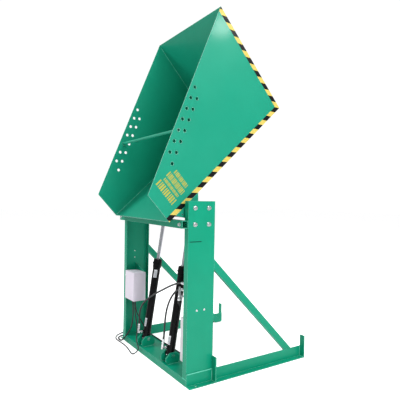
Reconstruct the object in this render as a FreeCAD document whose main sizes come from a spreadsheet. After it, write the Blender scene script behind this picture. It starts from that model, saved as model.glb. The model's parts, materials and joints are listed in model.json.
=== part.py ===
"""Hydraulic container dumper: a bolted-down frame with a tipping chute, two lift cylinders,
a power unit and a control box, drawn with the chute tipped up to its dumping stop.

Frame of reference: X across the machine, -Y towards the dumping side, +Y towards the loading side,
Z up. The origin is on the floor, in the middle of the four anchor holes of the two base legs.
"""

import FreeCAD, Part
import math
import os

import Sketcher

Vector = FreeCAD.Vector

DOC = FreeCAD.newDocument("ContainerDumper")

# --------------------------------------------------------------------------- driving dimensions (mm, degrees)

SIZES = {
    # base frame
    "frame_width": 1308.0,
    "post_top": 1524.0,
    "channel_depth": 264.0,
    "channel_flange": 58.0,
    "channel_wall": 7.0,
    "leg_length": 1324.0,
    "leg_rise": 102.0,
    "leg_reach": 60.0,
    "leg_wall": 6.0,
    "anchor_inset": 76.0,
    "anchor_bore": 18.0,
    "guard_height": 212.0,
    "guard_wall": 10.0,
    "brace_depth": 62.0,
    "brace_thick": 38.0,
    "brace_wall": 5.0,
    "brace_inset": 34.0,
    "beam_rise": 64.0,
    "beam_depth": 57.0,
    "beam_wall": 5.0,
    "beam_bottom": 1299.0,
    "beam_overhang": 4.0,
    "beam_bolt_inset": 44.0,
    # hinge
    "pivot_height": 1398.0,
    "shaft_bore": 55.0,
    "shaft_play": 0.1,
    "bearing_spacing": 136.0,
    "bearing_side": 176.0,
    "bearing_depth": 22.0,
    "bearing_hub": 122.0,
    "bearing_hub_depth": 40.0,
    "insert_outer": 100.0,
    "bolt_shank": 20.0,
    "bolt_hole": 22.0,
    "bolt_head": 30.0,
    "bolt_head_thick": 12.5,
    "washer_outer": 38.0,
    "washer_thick": 3.0,
    # chute
    "chute_width": 1148.0,
    "chute_wall": 6.0,
    "back_offset": 141.0,
    "lip_rise": 229.0,
    "ground_gap": 14.0,
    "floor_depth": 1068.0,
    "hood_depth": 293.0,
    "dump_angle": 132.2,
    "bar_hole": 28.6,
    "bar_hole_pitch": 91.0,
    "bar_hole_rows": 63.0,
    "bar_hole_low": 688.0,
    "bar_hole_edge": 50.0,
    "bar_outer": 26.7,
    "bar_wall": 2.9,
    "bar_overhang": 5.0,
    "ear_thick": 12.0,
    "ear_hub": 38.0,
    "ear_low": 142.0,
    "ear_high": 150.0,
    # lift cylinders
    "cylinder_spread": 500.0,
    "base_pin_setback": 78.0,
    "base_pin_height": 127.0,
    "lug_setback": 70.0,
    "lug_drop": 310.0,
    "lug_thick": 12.0,
    "pin_bore": 30.0,
    "pin_play": 0.15,
    "eye_width": 80.0,
    "eye_outer": 62.0,
    "eye_gap": 1.5,
    "barrel_outer": 76.0,
    "barrel_bore": 64.0,
    "barrel_start": 30.0,
    "barrel_end": 712.0,
    "barrel_cap": 12.0,
    "gland_outer": 86.0,
    "gland_length": 86.0,
    "rod_outer": 35.0,
    "piston_length": 32.0,
    "port_height": 58.0,
    "port_outer": 28.0,
    "hose_outer": 17.0,
}

SHEET = DOC.addObject("Spreadsheet::Sheet", "Sizes")
for row, (alias, number) in enumerate(SIZES.items(), start=1):
    SHEET.set(f"A{row}", alias)
    SHEET.set(f"B{row}", str(number))
    SHEET.setAlias(f"B{row}", alias)
DOC.recompute()


class Dim:
    """A size with the sheet expression that it comes from."""

    def __init__(self, number, text):
        self.number = float(number)
        self.text = text

    @staticmethod
    def of(value):
        return value if isinstance(value, Dim) else Dim(value, repr(float(value)))

    def __add__(self, other):
        other = Dim.of(other)
        return Dim(self.number + other.number, f"({self.text} + {other.text})")

    def __sub__(self, other):
        other = Dim.of(other)
        return Dim(self.number - other.number, f"({self.text} - {other.text})")

    def __mul__(self, other):
        other = Dim.of(other)
        return Dim(self.number * other.number, f"({self.text} * {other.text})")

    def __truediv__(self, other):
        other = Dim.of(other)
        return Dim(self.number / other.number, f"({self.text} / {other.text})")

    def __neg__(self):
        return Dim(-self.number, f"(0 - {self.text})")

    __radd__ = __add__

    def __rsub__(self, other):
        return Dim.of(other) - self

    __rmul__ = __mul__


def size(alias):
    """The named cell of the sheet as a Dim."""
    return Dim(SIZES[alias], f"Sizes.{alias}")


def number(value):
    return Dim.of(value).number


def bind(thing, prop, value):
    """Set a property from a Dim, through its expression."""
    value = Dim.of(value)
    setattr(thing, prop, value.number)
    thing.setExpression(prop, value.text)


# --------------------------------------------------------------------------- ways to make a piece

NODES = []


def node(thing, label):
    """Give a finished sub-part its label and list it for writing."""
    thing.Label = label
    NODES.append(thing)
    return thing


def vec(x, y, z):
    return Vector(number(x), number(y), number(z))


AXES = {"x": Vector(1, 0, 0), "y": Vector(0, 1, 0), "z": Vector(0, 0, 1)}


def along(direction, start):
    """Placement that turns local Z to a direction and moves the origin to start."""
    turn = FreeCAD.Rotation(Vector(0, 0, 1), direction)
    return FreeCAD.Placement(vec(*start), turn)


def moved(thing, frame):
    """Put a piece drawn in a local frame where that frame is."""
    thing.Placement = frame.multiply(thing.Placement)
    return thing


def block(low, length, width, height):
    """Box with its low corner given; length along X, width along Y, height along Z."""
    thing = DOC.addObject("Part::Box", "Block")
    bind(thing, "Length", length)
    bind(thing, "Width", width)
    bind(thing, "Height", height)
    thing.Placement.Base = vec(*low)
    return thing


def round_bar(radius, length, start, axis="x"):
    """Cylinder from start along one axis, or along any direction."""
    thing = DOC.addObject("Part::Cylinder", "Round")
    bind(thing, "Radius", radius)
    bind(thing, "Height", length)
    thing.Placement = along(AXES.get(axis, axis) if isinstance(axis, str) else axis, start)
    return thing


def hexagon(flats, length, start, axis="x"):
    """Hexagonal prism, sized across its flats."""
    thing = DOC.addObject("Part::Prism", "Hexagon")
    thing.Polygon = 6
    bind(thing, "Circumradius", Dim.of(flats) / math.sqrt(3.0))
    bind(thing, "Height", length)
    thing.Placement = along(AXES[axis], start)
    return thing


def cut(base, *tools):
    """Take tools away from base."""
    for tool in tools:
        thing = DOC.addObject("Part::Cut", "Cut")
        thing.Base = base
        thing.Tool = tool
        base = thing
    return base


def joined(*pieces):
    """One solid from pieces that are welded or cast together."""
    thing = DOC.addObject("Part::MultiFuse", "Joined")
    thing.Shapes = list(pieces)
    thing.Refine = True
    return thing


def together(*pieces):
    """Separate solids that share one node."""
    thing = DOC.addObject("Part::Compound", "Set")
    thing.Links = list(pieces)
    return thing


def tube(outer, inner, length, start, axis="x"):
    """Round tube between two radii."""
    return cut(round_bar(outer, length, start, axis), round_bar(inner, length, start, axis))


PLANES = {"xy": "XY_Plane", "xz": "XZ_Plane", "yz": "YZ_Plane"}


def plate(plane, outline, thickness, holes=(), start=0.0):
    """Flat plate: a sketch of straight edges and round holes on an origin plane, padded.

    The outline and hole centres are pairs of Dims in the sketch's own axes, and each one is a
    named constraint of the sketch. start moves the plate along the plane's normal.
    """
    body = DOC.addObject("PartDesign::Body", "Plate")
    sketch = body.newObject("Sketcher::SketchObject", "Outline")
    origin = [f for f in body.Origin.OriginFeatures if f.Role == PLANES[plane]]
    sketch.AttachmentSupport = [(origin[0], "")]
    sketch.MapMode = "FlatFace"
    corners = [(Dim.of(a), Dim.of(b)) for a, b in outline]
    points = [Vector(a.number, b.number, 0) for a, b in corners]
    for first, last in zip(points, points[1:] + points[:1]):
        sketch.addGeometry(Part.LineSegment(first, last), False)
    count = len(points)
    for i in range(count):
        sketch.addConstraint(Sketcher.Constraint("Coincident", i, 2, (i + 1) % count, 1))
    for i, (a, b) in enumerate(corners):
        fix_point(sketch, i, 1, a, b)
    for a, b, radius in holes:
        a, b, radius = Dim.of(a), Dim.of(b), Dim.of(radius)
        centre = Vector(a.number, b.number, 0)
        index = sketch.addGeometry(Part.Circle(centre, Vector(0, 0, 1), radius.number), False)
        fix_point(sketch, index, 3, a, b)
        name = sketch.addConstraint(Sketcher.Constraint("Radius", index, radius.number))
        sketch.setExpression(f"Constraints[{name}]", radius.text)
    pad = body.newObject("PartDesign::Pad", "Pad")
    pad.Profile = sketch
    bind(pad, "Length", thickness)
    normal = {"xy": Vector(0, 0, 1), "xz": Vector(0, -1, 0), "yz": Vector(1, 0, 0)}[plane]
    body.Placement.Base = normal * number(start)
    return body


def fix_point(sketch, index, corner, a, b):
    """Tie one point of a sketch to the sheet, in both directions."""
    for kind, value in (("DistanceX", a), ("DistanceY", b)):
        if abs(value.number) < 1e-9:
            axis = -2 if kind == "DistanceX" else -1
            sketch.addConstraint(Sketcher.Constraint("PointOnObject", index, corner, axis))
        else:
            place = sketch.addConstraint(
                Sketcher.Constraint(kind, -1, 1, index, corner, value.number)
            )
            sketch.setExpression(f"Constraints[{place}]", value.text)


# --------------------------------------------------------------------------- shared places

SIDES = {"right": 1.0, "left": -1.0}
HALF_WIDTH = size("frame_width") / 2
FRONT = -(size("leg_length") / 2)
REAR = size("leg_length") / 2
POST_REAR = FRONT + size("channel_depth")
BASE_TOP = size("channel_flange")
PIVOT_Y = FRONT + size("channel_depth") / 2
PIVOT_Z = size("pivot_height")
HALF_CHUTE = size("chute_width") / 2
FLOOR_Z = size("ground_gap") - size("pivot_height")
DUMP = math.radians(SIZES["dump_angle"])

CHUTE = FreeCAD.Placement(
    vec(0, PIVOT_Y, PIVOT_Z), FreeCAD.Rotation(Vector(1, 0, 0), SIZES["dump_angle"])
)

PIN_BASE = vec(0, FRONT + size("base_pin_setback"), size("base_pin_height"))
PIN_TOP = CHUTE.multVec(vec(0, size("lug_setback"), -size("lug_drop")))
CYLINDER_AXIS = (PIN_TOP - PIN_BASE).normalize()
CYLINDER_LENGTH = PIN_TOP.distanceToPoint(PIN_BASE)
CYLINDER_TILT = math.degrees(math.atan2(CYLINDER_AXIS.y, CYLINDER_AXIS.z))


def between(low, high, side):
    """The lower X of a span that is mirrored to one side, and its length."""
    low, high = Dim.of(low), Dim.of(high)
    return (low if side > 0 else -high), high - low


def side_block(side, low, high, y, width, z, height):
    """Box between two distances from the middle plane, on one side."""
    x, length = between(low, high, side)
    return block((x, y, z), length, width, height)


def side_plate(side, low, outline, thickness, holes=()):
    """Plate across X whose inner face is a distance from the middle plane, on one side."""
    start = Dim.of(low) if side > 0 else -(Dim.of(low) + thickness)
    return plate("yz", outline, thickness, holes, start)


def side_bar(side, low, high, y, z, radius):
    """Round bar along X between two distances from the middle plane, on one side."""
    x, length = between(low, high, side)
    return round_bar(radius, length, (x, y, z))


# --------------------------------------------------------------------------- base frame


def channel_outline(depth, flange, wall):
    """Section of a rolled channel: its web on the first axis, its flanges along the second."""
    return [
        (0, 0),
        (depth, 0),
        (depth, flange),
        (depth - wall, flange),
        (depth - wall, wall),
        (wall, wall),
        (wall, flange),
        (0, flange),
    ]


def make_post(side):
    """Upright channel with its web outside and the hinge bearing's bolt holes."""
    depth, flange, wall = size("channel_depth"), size("channel_flange"), size("channel_wall")
    outline = [
        (HALF_WIDTH * side - b * side, FRONT + a) for a, b in channel_outline(depth, flange, wall)
    ]
    height = size("post_top") - BASE_TOP
    post = plate("xy", outline, height, start=BASE_TOP)
    half = size("bearing_spacing") / 2
    tools = [
        side_bar(
            side, HALF_WIDTH - wall * 2, HALF_WIDTH + wall, PIVOT_Y + half * a, PIVOT_Z + half * b,
            size("bolt_hole") / 2,
        )
        for a in (-1, 1)
        for b in (-1, 1)
    ]
    x = (HALF_WIDTH - size("beam_bolt_inset")) * side
    middle = size("beam_bottom") + size("beam_rise") / 2
    tools.append(round_bar(BEAM_BOLT_HOLE / 2, wall * 3, (x, FRONT - wall, middle), "y"))
    tools.extend(bracket_bolt_holes() if side > 0 else spare_holes())
    return cut(post, *tools)


def spare_holes():
    """Cutters for the two unused bracket holes in the left post's web."""
    return [
        round_bar(BRACKET_BOLT_HOLE / 2, 60, (-HALF_WIDTH - 20, FRONT + 121, z))
        for z in (886, 955)
    ]


BEAM_BOLT = Dim.of(16.0)
BEAM_BOLT_HOLE = Dim.of(17.5)


def make_base_channel():
    """Channel laid flat between the posts' feet, flanges down, carrying the cylinders."""
    depth, flange, wall = size("channel_depth"), size("channel_flange"), size("channel_wall")
    outline = [(FRONT + a, flange - b) for a, b in channel_outline(depth, flange, wall)]
    return plate("yz", outline, size("frame_width"), start=-HALF_WIDTH)


def make_leg(side):
    """Angle iron along the floor, upright leaf against the post, foot leaf outward."""
    wall = size("leg_wall")
    near, far = HALF_WIDTH * side, (HALF_WIDTH + size("leg_reach")) * side
    step = wall * side
    outline = [
        (near, 0), (far, 0), (far, wall), (near + step, wall),
        (near + step, size("leg_rise")), (near, size("leg_rise")),
    ]
    leg = plate("xz", outline, size("leg_length"), start=FRONT)
    x = (HALF_WIDTH + (size("leg_reach") + wall) / 2) * side
    radius = size("anchor_bore") / 2
    tools = [
        round_bar(radius, wall * 3, (x, y, -wall), "z")
        for y in (FRONT + size("anchor_inset"), REAR - size("anchor_inset"))
    ]
    return cut(leg, *tools)


def make_brace(side):
    """Square-cut tube from the post's rear flange down to the leg, welded inside its leaf."""
    inner = HALF_WIDTH - size("brace_thick")
    slant = math.sqrt(2.0)
    foot = size("leg_wall")
    wall = size("brace_wall")
    top = FRONT + size("leg_length") - size("brace_inset") - POST_REAR + foot
    drop = size("brace_depth") * slant
    outline = [
        (POST_REAR, top), (POST_REAR, top - drop),
        (POST_REAR + top - drop - foot, foot), (POST_REAR + top - foot, foot),
    ]
    hollow = [
        (POST_REAR - wall, top + wall - wall * slant),
        (POST_REAR - wall, top + wall - drop + wall * slant),
        (POST_REAR + top - drop + wall * slant, 0),
        (POST_REAR + top - wall * slant, 0),
    ]
    outer = side_plate(side, inner, outline, size("brace_thick"))
    return cut(outer, side_plate(side, inner + wall, hollow, size("brace_thick") - wall * 2))


def make_top_beam():
    """Square tube across the front of both posts, open at its ends."""
    wall, half = size("beam_wall"), HALF_WIDTH - size("beam_overhang")
    rise, depth = size("beam_rise"), size("beam_depth")
    low = size("beam_bottom")
    outer = block((-half, FRONT - depth, low), half * 2, depth, rise)
    inner = block(
        (-half - wall, FRONT - depth + wall, low + wall),
        half * 2 + wall * 2, depth - wall * 2, rise - wall * 2,
    )
    tools = [
        round_bar(
            BEAM_BOLT_HOLE / 2, depth * 2,
            ((HALF_WIDTH - size("beam_bolt_inset")) * s, FRONT - depth * 1.5, low + rise / 2), "y",
        )
        for s in SIDES.values()
    ]
    return cut(outer, inner, *tools)


def beam_bolts():
    """One bolt at each end of the top beam, through the post's front flange, with its nut."""
    front = FRONT - size("beam_depth")
    middle = size("beam_bottom") + size("beam_rise") / 2
    head, washer = Dim.of(24.0), size("washer_thick")
    parts = []
    for side in SIDES.values():
        x = (HALF_WIDTH - size("beam_bolt_inset")) * side
        nut_face = FRONT + size("channel_wall")
        start = front - washer - size("bolt_head_thick")
        length = nut_face + 18 - start
        parts.append(
            joined(
                hexagon(head, size("bolt_head_thick"), (x, start, middle), "y"),
                round_bar(16, washer, (x, front - washer, middle), "y"),
                round_bar(BEAM_BOLT / 2, length, (x, start, middle), "y"),
                hexagon(head, 13, (x, nut_face, middle), "y"),
            )
        )
    return parts


def make_guards():
    """Flat guards standing on each leg's foot, one behind the post and one at the leg's end."""
    wall = size("guard_wall")
    low = size("leg_wall")
    return together(
        *[
            side_block(
                side, HALF_WIDTH + low, HALF_WIDTH + size("leg_reach"), y, wall, low,
                size("guard_height") - low,
            )
            for side in SIDES.values()
            for y in (POST_REAR - wall, REAR - wall)
        ]
    )


# --------------------------------------------------------------------------- hinge


def make_bearing_housing(side):
    """Cast four-bolt flange bearing against the inside of the post's web."""
    face = HALF_WIDTH - size("channel_wall")
    square, half = size("bearing_side"), size("bearing_spacing") / 2
    corner = square / 2
    cut_off = square / 12
    outline = [
        (PIVOT_Y + a, PIVOT_Z + b)
        for a, b in (
            (-corner, -corner + cut_off), (-corner + cut_off, -corner),
            (corner - cut_off, -corner), (corner, -corner + cut_off),
            (corner, corner - cut_off), (corner - cut_off, corner),
            (-corner + cut_off, corner), (-corner, corner - cut_off),
        )
    ]
    holes = [
        (PIVOT_Y + half * a, PIVOT_Z + half * b, size("bolt_hole") / 2)
        for a in (-1, 1)
        for b in (-1, 1)
    ]
    low = face - size("bearing_depth")
    flange = side_plate(side, low, outline, size("bearing_depth"), holes)
    hub_low = face - size("bearing_hub_depth")
    hub = side_bar(side, hub_low, face, PIVOT_Y, PIVOT_Z, size("bearing_hub") / 2)
    seat = side_bar(side, hub_low - 5, face + 5, PIVOT_Y, PIVOT_Z, size("insert_outer") / 2)
    return cut(joined(flange, hub), seat)


def make_bearing_inserts():
    """The ball bearing inserts, drawn as plain rings in their housings."""
    face = HALF_WIDTH - size("channel_wall")
    parts = []
    for side in SIDES.values():
        low, high = face - size("bearing_hub_depth"), face - 2
        outer = side_bar(side, low, high, PIVOT_Y, PIVOT_Z, size("insert_outer") / 2)
        bore = side_bar(
            side, low - 5, high + 5, PIVOT_Y, PIVOT_Z, size("shaft_bore") / 2 + size("shaft_play")
        )
        parts.append(cut(outer, bore))
    return together(*parts)


def bearing_bolts():
    """Four bolts through each post's web and bearing, heads outside, nuts inside."""
    half, washer = size("bearing_spacing") / 2, size("washer_thick")
    web = size("channel_wall")
    parts = []
    for side in SIDES.values():
        for a in (-1, 1):
            for b in (-1, 1):
                y, z = PIVOT_Y + half * a, PIVOT_Z + half * b
                nut_face = HALF_WIDTH - web - size("bearing_depth")
                outside = HALF_WIDTH + washer
                head, reach = between(outside, outside + size("bolt_head_thick"), side)
                nut, nut_reach = between(nut_face - 16, nut_face, side)
                parts.append(
                    joined(
                        side_bar(side, HALF_WIDTH, outside, y, z, size("washer_outer") / 2),
                        hexagon(size("bolt_head"), reach, (head, y, z)),
                        side_bar(side, nut_face - 20, outside, y, z, size("bolt_shank") / 2),
                        hexagon(size("bolt_head"), nut_reach, (nut, y, z)),
                    )
                )
    return parts


def make_pivot_shaft():
    """Through shaft that the chute turns on; its ends stop inside the posts' webs."""
    half = HALF_WIDTH - size("channel_wall") - 1
    return round_bar(size("shaft_bore") / 2, half * 2, (-half, 0, 0))


# --------------------------------------------------------------------------- chute


def front_edge(height):
    """Depth of the side plates' slanted front edge, a height above the chute's floor."""
    full = size("lip_rise") - FLOOR_Z
    slope = (size("floor_depth") - size("hood_depth")) / full
    return size("back_offset") + size("floor_depth") - slope * height


def bar_holes():
    """Centres of both rows of bar holes: seven each, the rear row half a pitch higher."""
    centres = []
    for row in (0, 1):
        for step in range(7):
            height = size("bar_hole_low") + size("bar_hole_pitch") * (step + row / 2)
            depth = front_edge(height) - size("bar_hole_edge") - size("bar_hole_rows") * row
            centres.append((depth, FLOOR_Z + height))
    return centres


def make_side_plate(side):
    """Trapezoid side of the chute with its two rows of bar holes."""
    back = size("back_offset")
    outline = [
        (back, FLOOR_Z), (back + size("floor_depth"), FLOOR_Z),
        (back + size("hood_depth"), size("lip_rise")), (back, size("lip_rise")),
    ]
    holes = [(a, b, size("bar_hole") / 2) for a, b in bar_holes()]
    return side_plate(side, HALF_CHUTE - size("chute_wall"), outline, size("chute_wall"), holes)


def make_back_plate():
    """Back of the chute, the face that the load slides down."""
    wall = size("chute_wall")
    inner = HALF_CHUTE - wall
    height = size("lip_rise") - FLOOR_Z
    return block((-inner, size("back_offset"), FLOOR_Z), inner * 2, wall, height)


def make_floor_plate():
    """Floor of the chute, on which the container stands while it is loaded."""
    wall = size("chute_wall")
    inner = HALF_CHUTE - wall
    start = size("back_offset") + wall
    return block((-inner, start, FLOOR_Z), inner * 2, size("floor_depth") - wall, wall)


def make_ear(side):
    """Welded ear between the chute's back and the pivot shaft."""
    back, hub = size("back_offset"), size("ear_hub")
    low, high = size("ear_low"), size("ear_high")
    outline = [
        (back, -low), (back, high), (0 - hub * 0.55, hub), (-hub, hub * 0.4),
        (-hub, -(hub * 0.4)), (0 - hub * 0.55, -hub), (hub * 0.5, -hub),
    ]
    holes = [(0, 0, size("shaft_bore") / 2), (104, 98, 6)]
    return side_plate(side, HALF_CHUTE - size("ear_thick"), outline, size("ear_thick"), holes)


def clevis_plates(outline, hole):
    """A pair of plates either side of each cylinder's eye."""
    gap = size("eye_width") / 2 + size("eye_gap")
    thick = size("lug_thick")
    return [
        plate("yz", outline, thick, [hole], middle + offset)
        for middle in (size("cylinder_spread") / 2, -(size("cylinder_spread") / 2))
        for offset in (gap, -gap - thick)
    ]


def make_rod_lugs():
    """Pairs of lugs on the chute's back that the piston rods push."""
    back, setback, drop = size("back_offset"), size("lug_setback"), size("lug_drop")
    nose = size("eye_outer") / 2 + 4
    outline = [
        (back, -drop - 85), (back, 85 - drop), (setback, nose - drop),
        (setback - nose * 0.7, nose * 0.7 - drop), (setback - nose, -drop),
        (setback - nose * 0.7, -drop - nose * 0.7), (setback, -drop - nose),
    ]
    hole = (setback, -drop, size("pin_bore") / 2)
    return together(*clevis_plates(outline, hole))


def make_rod_pin_heads():
    """The pins' ends in the chute's lugs; the middle of each pin is in the rod's eye."""
    gap, thick = size("eye_width") / 2 + size("eye_gap"), size("lug_thick")
    y, z = size("lug_setback"), -size("lug_drop")
    parts = []
    for middle in (size("cylinder_spread") / 2, -(size("cylinder_spread") / 2)):
        for low, high, head in (
            (middle + gap, middle + gap + thick, middle + gap + thick),
            (middle - gap - thick, middle - gap, middle - gap - thick - 7),
        ):
            parts.append(
                joined(
                    round_bar(size("pin_bore") / 2, high - low, (low, y, z)),
                    round_bar(size("pin_bore") / 2 + 5, 7, (head, y, z)),
                )
            )
    return together(*parts)


BAR_HOLE_USED = 4


def make_retaining_bar():
    """Pipe across the chute that holds the container in, pushed through one pair of holes."""
    y, z = bar_holes()[BAR_HOLE_USED]
    half = HALF_CHUTE + size("bar_overhang")
    return tube(
        size("bar_outer") / 2, size("bar_outer") / 2 - size("bar_wall"), half * 2, (-half, y, z)
    )


# --------------------------------------------------------------------------- lift cylinders


def cylinder_frame(side):
    """Local frame of one cylinder: origin at its base pin, Z along the rod."""
    x = SIZES["cylinder_spread"] / 2 * side
    return FreeCAD.Placement(
        PIN_BASE + Vector(x, 0, 0), FreeCAD.Rotation(Vector(1, 0, 0), -CYLINDER_TILT)
    )


def make_base_clevis():
    """Octagonal clevis plates welded on the base channel."""
    y, z, half = FRONT + size("base_pin_setback"), BASE_TOP, Dim.of(72.0)
    top = size("base_pin_height") + 27
    outline = [
        (y - half + 22, z), (y + half - 22, z), (y + half, z + 24), (y + half, z + 58),
        (y + half - 40, top), (y - half + 40, top), (y - half, z + 58), (y - half, z + 24),
    ]
    hole = (y, size("base_pin_height"), size("pin_bore") / 2)
    return together(*clevis_plates(outline, hole))


def make_base_pins():
    """Headed pin through each base clevis and barrel eye."""
    y, z = FRONT + size("base_pin_setback"), size("base_pin_height")
    reach = size("eye_width") / 2 + size("eye_gap") + size("lug_thick")
    parts = []
    for middle in (size("cylinder_spread") / 2, -(size("cylinder_spread") / 2)):
        parts.append(
            joined(
                round_bar(size("pin_bore") / 2, reach * 2 + 7, (middle - reach, y, z)),
                round_bar(size("pin_bore") / 2 + 5, 6, (middle - reach - 6, y, z)),
            )
        )
    return together(*parts)


def make_barrel(side):
    """Cylinder barrel with its base eye, closed bottom and pressure port."""
    outer, bore = size("barrel_outer") / 2, size("barrel_bore") / 2
    start, end = size("barrel_start"), size("barrel_end")
    half = size("eye_width") / 2
    body = joined(
        round_bar(outer, end - start, (0, 0, start), "z"),
        round_bar(size("eye_outer") / 2, size("eye_width"), (-half, 0, 0)),
        block((-half, -20, 0), size("eye_width"), 40, start + 2),
        round_bar(size("port_outer") / 2, outer + 14, (0, -outer - 14, size("port_height")), "y"),
    )
    floor = start + size("barrel_cap")
    port = size("port_height")
    barrel = cut(
        body,
        round_bar(bore, end - floor + 5, (0, 0, floor), "z"),
        round_bar(size("pin_bore") / 2 + size("pin_play"), 200, (-100, 0, 0)),
        round_bar(6, outer + 20, (0, -outer - 20, port), "y"),
    )
    return moved(barrel, cylinder_frame(side))


def make_gland(side):
    """Gland at the barrel's mouth, with the breather plug on its front."""
    radius, length, start = size("gland_outer") / 2, size("gland_length"), size("barrel_end")
    body = joined(
        round_bar(radius, length, (0, 0, start), "z"),
        round_bar(8, radius + 9, (0, -radius - 9, start + length / 2), "y"),
    )
    bore = round_bar(size("rod_outer") / 2 + 0.1, length + 10, (0, 0, start - 5), "z")
    return moved(cut(body, bore), cylinder_frame(side))


def make_piston(side):
    """Piston on the rod's lower end, just under the gland when the chute is up."""
    length = size("piston_length")
    start = size("barrel_end") - length - 4
    radius = size("barrel_bore") / 2 - 0.1
    return moved(round_bar(radius, length, (0, 0, start), "z"), cylinder_frame(side))


def make_rod(side):
    """Chromed piston rod from the piston to its eye."""
    start = size("barrel_end") - 4
    length = CYLINDER_LENGTH - SIZES["barrel_end"] + 4 - SIZES["eye_outer"] / 2 + 3
    rod = round_bar(size("rod_outer") / 2, length, (0, 0, start), "z")
    hollow = round_bar(
        size("eye_outer") / 2, size("eye_width") + 4, (-size("eye_width") / 2 - 2, 0, CYLINDER_LENGTH)
    )
    return moved(cut(rod, hollow), cylinder_frame(side))


def make_rod_eye(side):
    """Cross tube welded on the rod's end, with the middle of its pin."""
    width = size("eye_width")
    start = (-width / 2, 0, CYLINDER_LENGTH)
    pin = size("pin_bore") / 2
    eye = moved(tube(size("eye_outer") / 2, pin, width, start), cylinder_frame(side))
    middle = moved(round_bar(pin, width, start), cylinder_frame(side))
    return together(eye, middle)


# --------------------------------------------------------------------------- hoses and cables


def from_front(points):
    """Route points whose Y is measured from the posts' front face."""
    shift = FRONT.number
    return [Vector(x, y + shift, z) for x, y, z in points]


def rounded_route(points):
    """Straight runs joined by tangent arcs, each as large as its two runs allow."""
    edges = []
    length = 0.0
    smallest = None
    start = points[0]
    for before, corner, after in zip(points, points[1:], points[2:]):
        incoming, outgoing = corner - before, after - corner
        turn = incoming.getAngle(outgoing)
        reach = 0.45 * min(incoming.Length, outgoing.Length)
        radius = reach / math.tan(turn / 2)
        smallest = radius if smallest is None else min(smallest, radius)
        incoming.normalize()
        outgoing.normalize()
        enter, leave = corner - incoming * reach, corner + outgoing * reach
        inward = (outgoing - incoming).normalize()
        middle = corner + inward * (radius / math.cos(turn / 2) - radius)
        edges.append(Part.LineSegment(start, enter).toShape())
        edges.append(Part.Arc(enter, middle, leave).toShape())
        length += start.distanceToPoint(enter) + radius * turn
        start = leave
    edges.append(Part.LineSegment(start, points[-1]).toShape())
    length += start.distanceToPoint(points[-1])
    return Part.Wire(edges), length, smallest


def cable(name, points, outer):
    """Round cable or hose swept along a rounded route."""
    wire, length, smallest = rounded_route(points)
    direction = points[1] - points[0]
    section = Part.Wire(Part.Circle(points[0], direction, outer / 2).toShape())
    solid = Part.Solid(wire.makePipeShell([section], True, False))
    expected = math.pi * outer * outer / 4 * length
    print(
        f"{name}: length {length:.0f} mm, smallest radius {smallest:.0f} mm,"
        f" volume {solid.Volume / expected:.4f} of section times length"
    )
    thing = DOC.addObject("Part::Feature", "Cable")
    thing.Shape = solid
    return thing


# --------------------------------------------------------------------------- control box

BOX_LEFT, BOX_WIDTH = Dim.of(-592.0), Dim.of(214.0)
BOX_LOW, BOX_HEIGHT = Dim.of(470.0), Dim.of(294.0)
BOX_FRONT, LID_DEPTH, BOX_DEPTH = FRONT - 12, Dim.of(30.0), Dim.of(108.0)
BOX_WALL = Dim.of(2.5)
BOX_RIM = BOX_FRONT + LID_DEPTH
LID_HINGE_X = BOX_LEFT + BOX_WIDTH + 5
GLAND_DROP = Dim.of(24.0)
GLANDS = {"power": (-520.0, 50.0), "pendant": (-472.0, 50.0), "motor": (-560.0, 95.0)}


def make_control_box():
    """Sheet-steel enclosure, open at its front, with its lid's hinge knuckles."""
    wall = BOX_WALL
    shell = cut(
        block((BOX_LEFT, BOX_RIM, BOX_LOW), BOX_WIDTH, BOX_DEPTH, BOX_HEIGHT),
        block(
            (BOX_LEFT + wall, BOX_RIM - wall, BOX_LOW + wall),
            BOX_WIDTH - wall * 2, BOX_DEPTH, BOX_HEIGHT - wall * 2,
        ),
    )
    right = BOX_LEFT + BOX_WIDTH
    knuckles = []
    for z in (BOX_LOW + 40, BOX_LOW + BOX_HEIGHT - 80):
        knuckles.append(round_bar(4, 40, (LID_HINGE_X, BOX_RIM, z), "z"))
        knuckles.append(block((right - 1, BOX_RIM + 2, z), 7, 12, 40))
    return joined(shell, *knuckles)


def make_control_lid():
    """Shallow tray lid on the box's front, with its turn screw."""
    wall = BOX_WALL
    tray = cut(
        block((BOX_LEFT, BOX_FRONT, BOX_LOW), BOX_WIDTH, LID_DEPTH, BOX_HEIGHT),
        block(
            (BOX_LEFT + wall, BOX_FRONT + wall, BOX_LOW + wall),
            BOX_WIDTH - wall * 2, LID_DEPTH, BOX_HEIGHT - wall * 2,
        ),
    )
    screw = round_bar(7, 5, (BOX_LEFT + 16, BOX_FRONT - 4, BOX_LOW + BOX_HEIGHT / 2), "y")
    return joined(tray, screw)


def make_box_bracket():
    """Plate between the post's web and the box, with a gusset rising above the box."""
    web = -(HALF_WIDTH - size("channel_wall"))
    top = BOX_LOW + BOX_HEIGHT
    right = BOX_LEFT + BOX_WIDTH - 6
    outline = [(web, BOX_LOW), (right, BOX_LOW), (right, top), (right - 50, top), (web, top + 68)]
    thick = Dim.of(6.0)
    return plate("xz", outline, thick, start=-(BOX_RIM + BOX_DEPTH + thick))


def make_contactor():
    """Motor contactor on the box's back wall."""
    back = BOX_RIM + BOX_DEPTH - BOX_WALL
    low = BOX_LOW + BOX_HEIGHT / 2
    rail = block((BOX_LEFT + 30, back - 7, low + 20), 150, 7, 35)
    unit = block((BOX_LEFT + 60, back - 75, low), 45, 68, 78)
    return together(rail, unit)


def make_cable_glands():
    """Three screwed glands in the box's floor."""
    parts = []
    for x, y in GLANDS.values():
        where = FRONT + y
        parts.append(
            joined(
                hexagon(26, 8, (x, where, BOX_LOW - 8), "z"),
                round_bar(10.5, GLAND_DROP, (x, where, BOX_LOW - GLAND_DROP), "z"),
            )
        )
    return together(*parts)


# --------------------------------------------------------------------------- power unit

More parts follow.
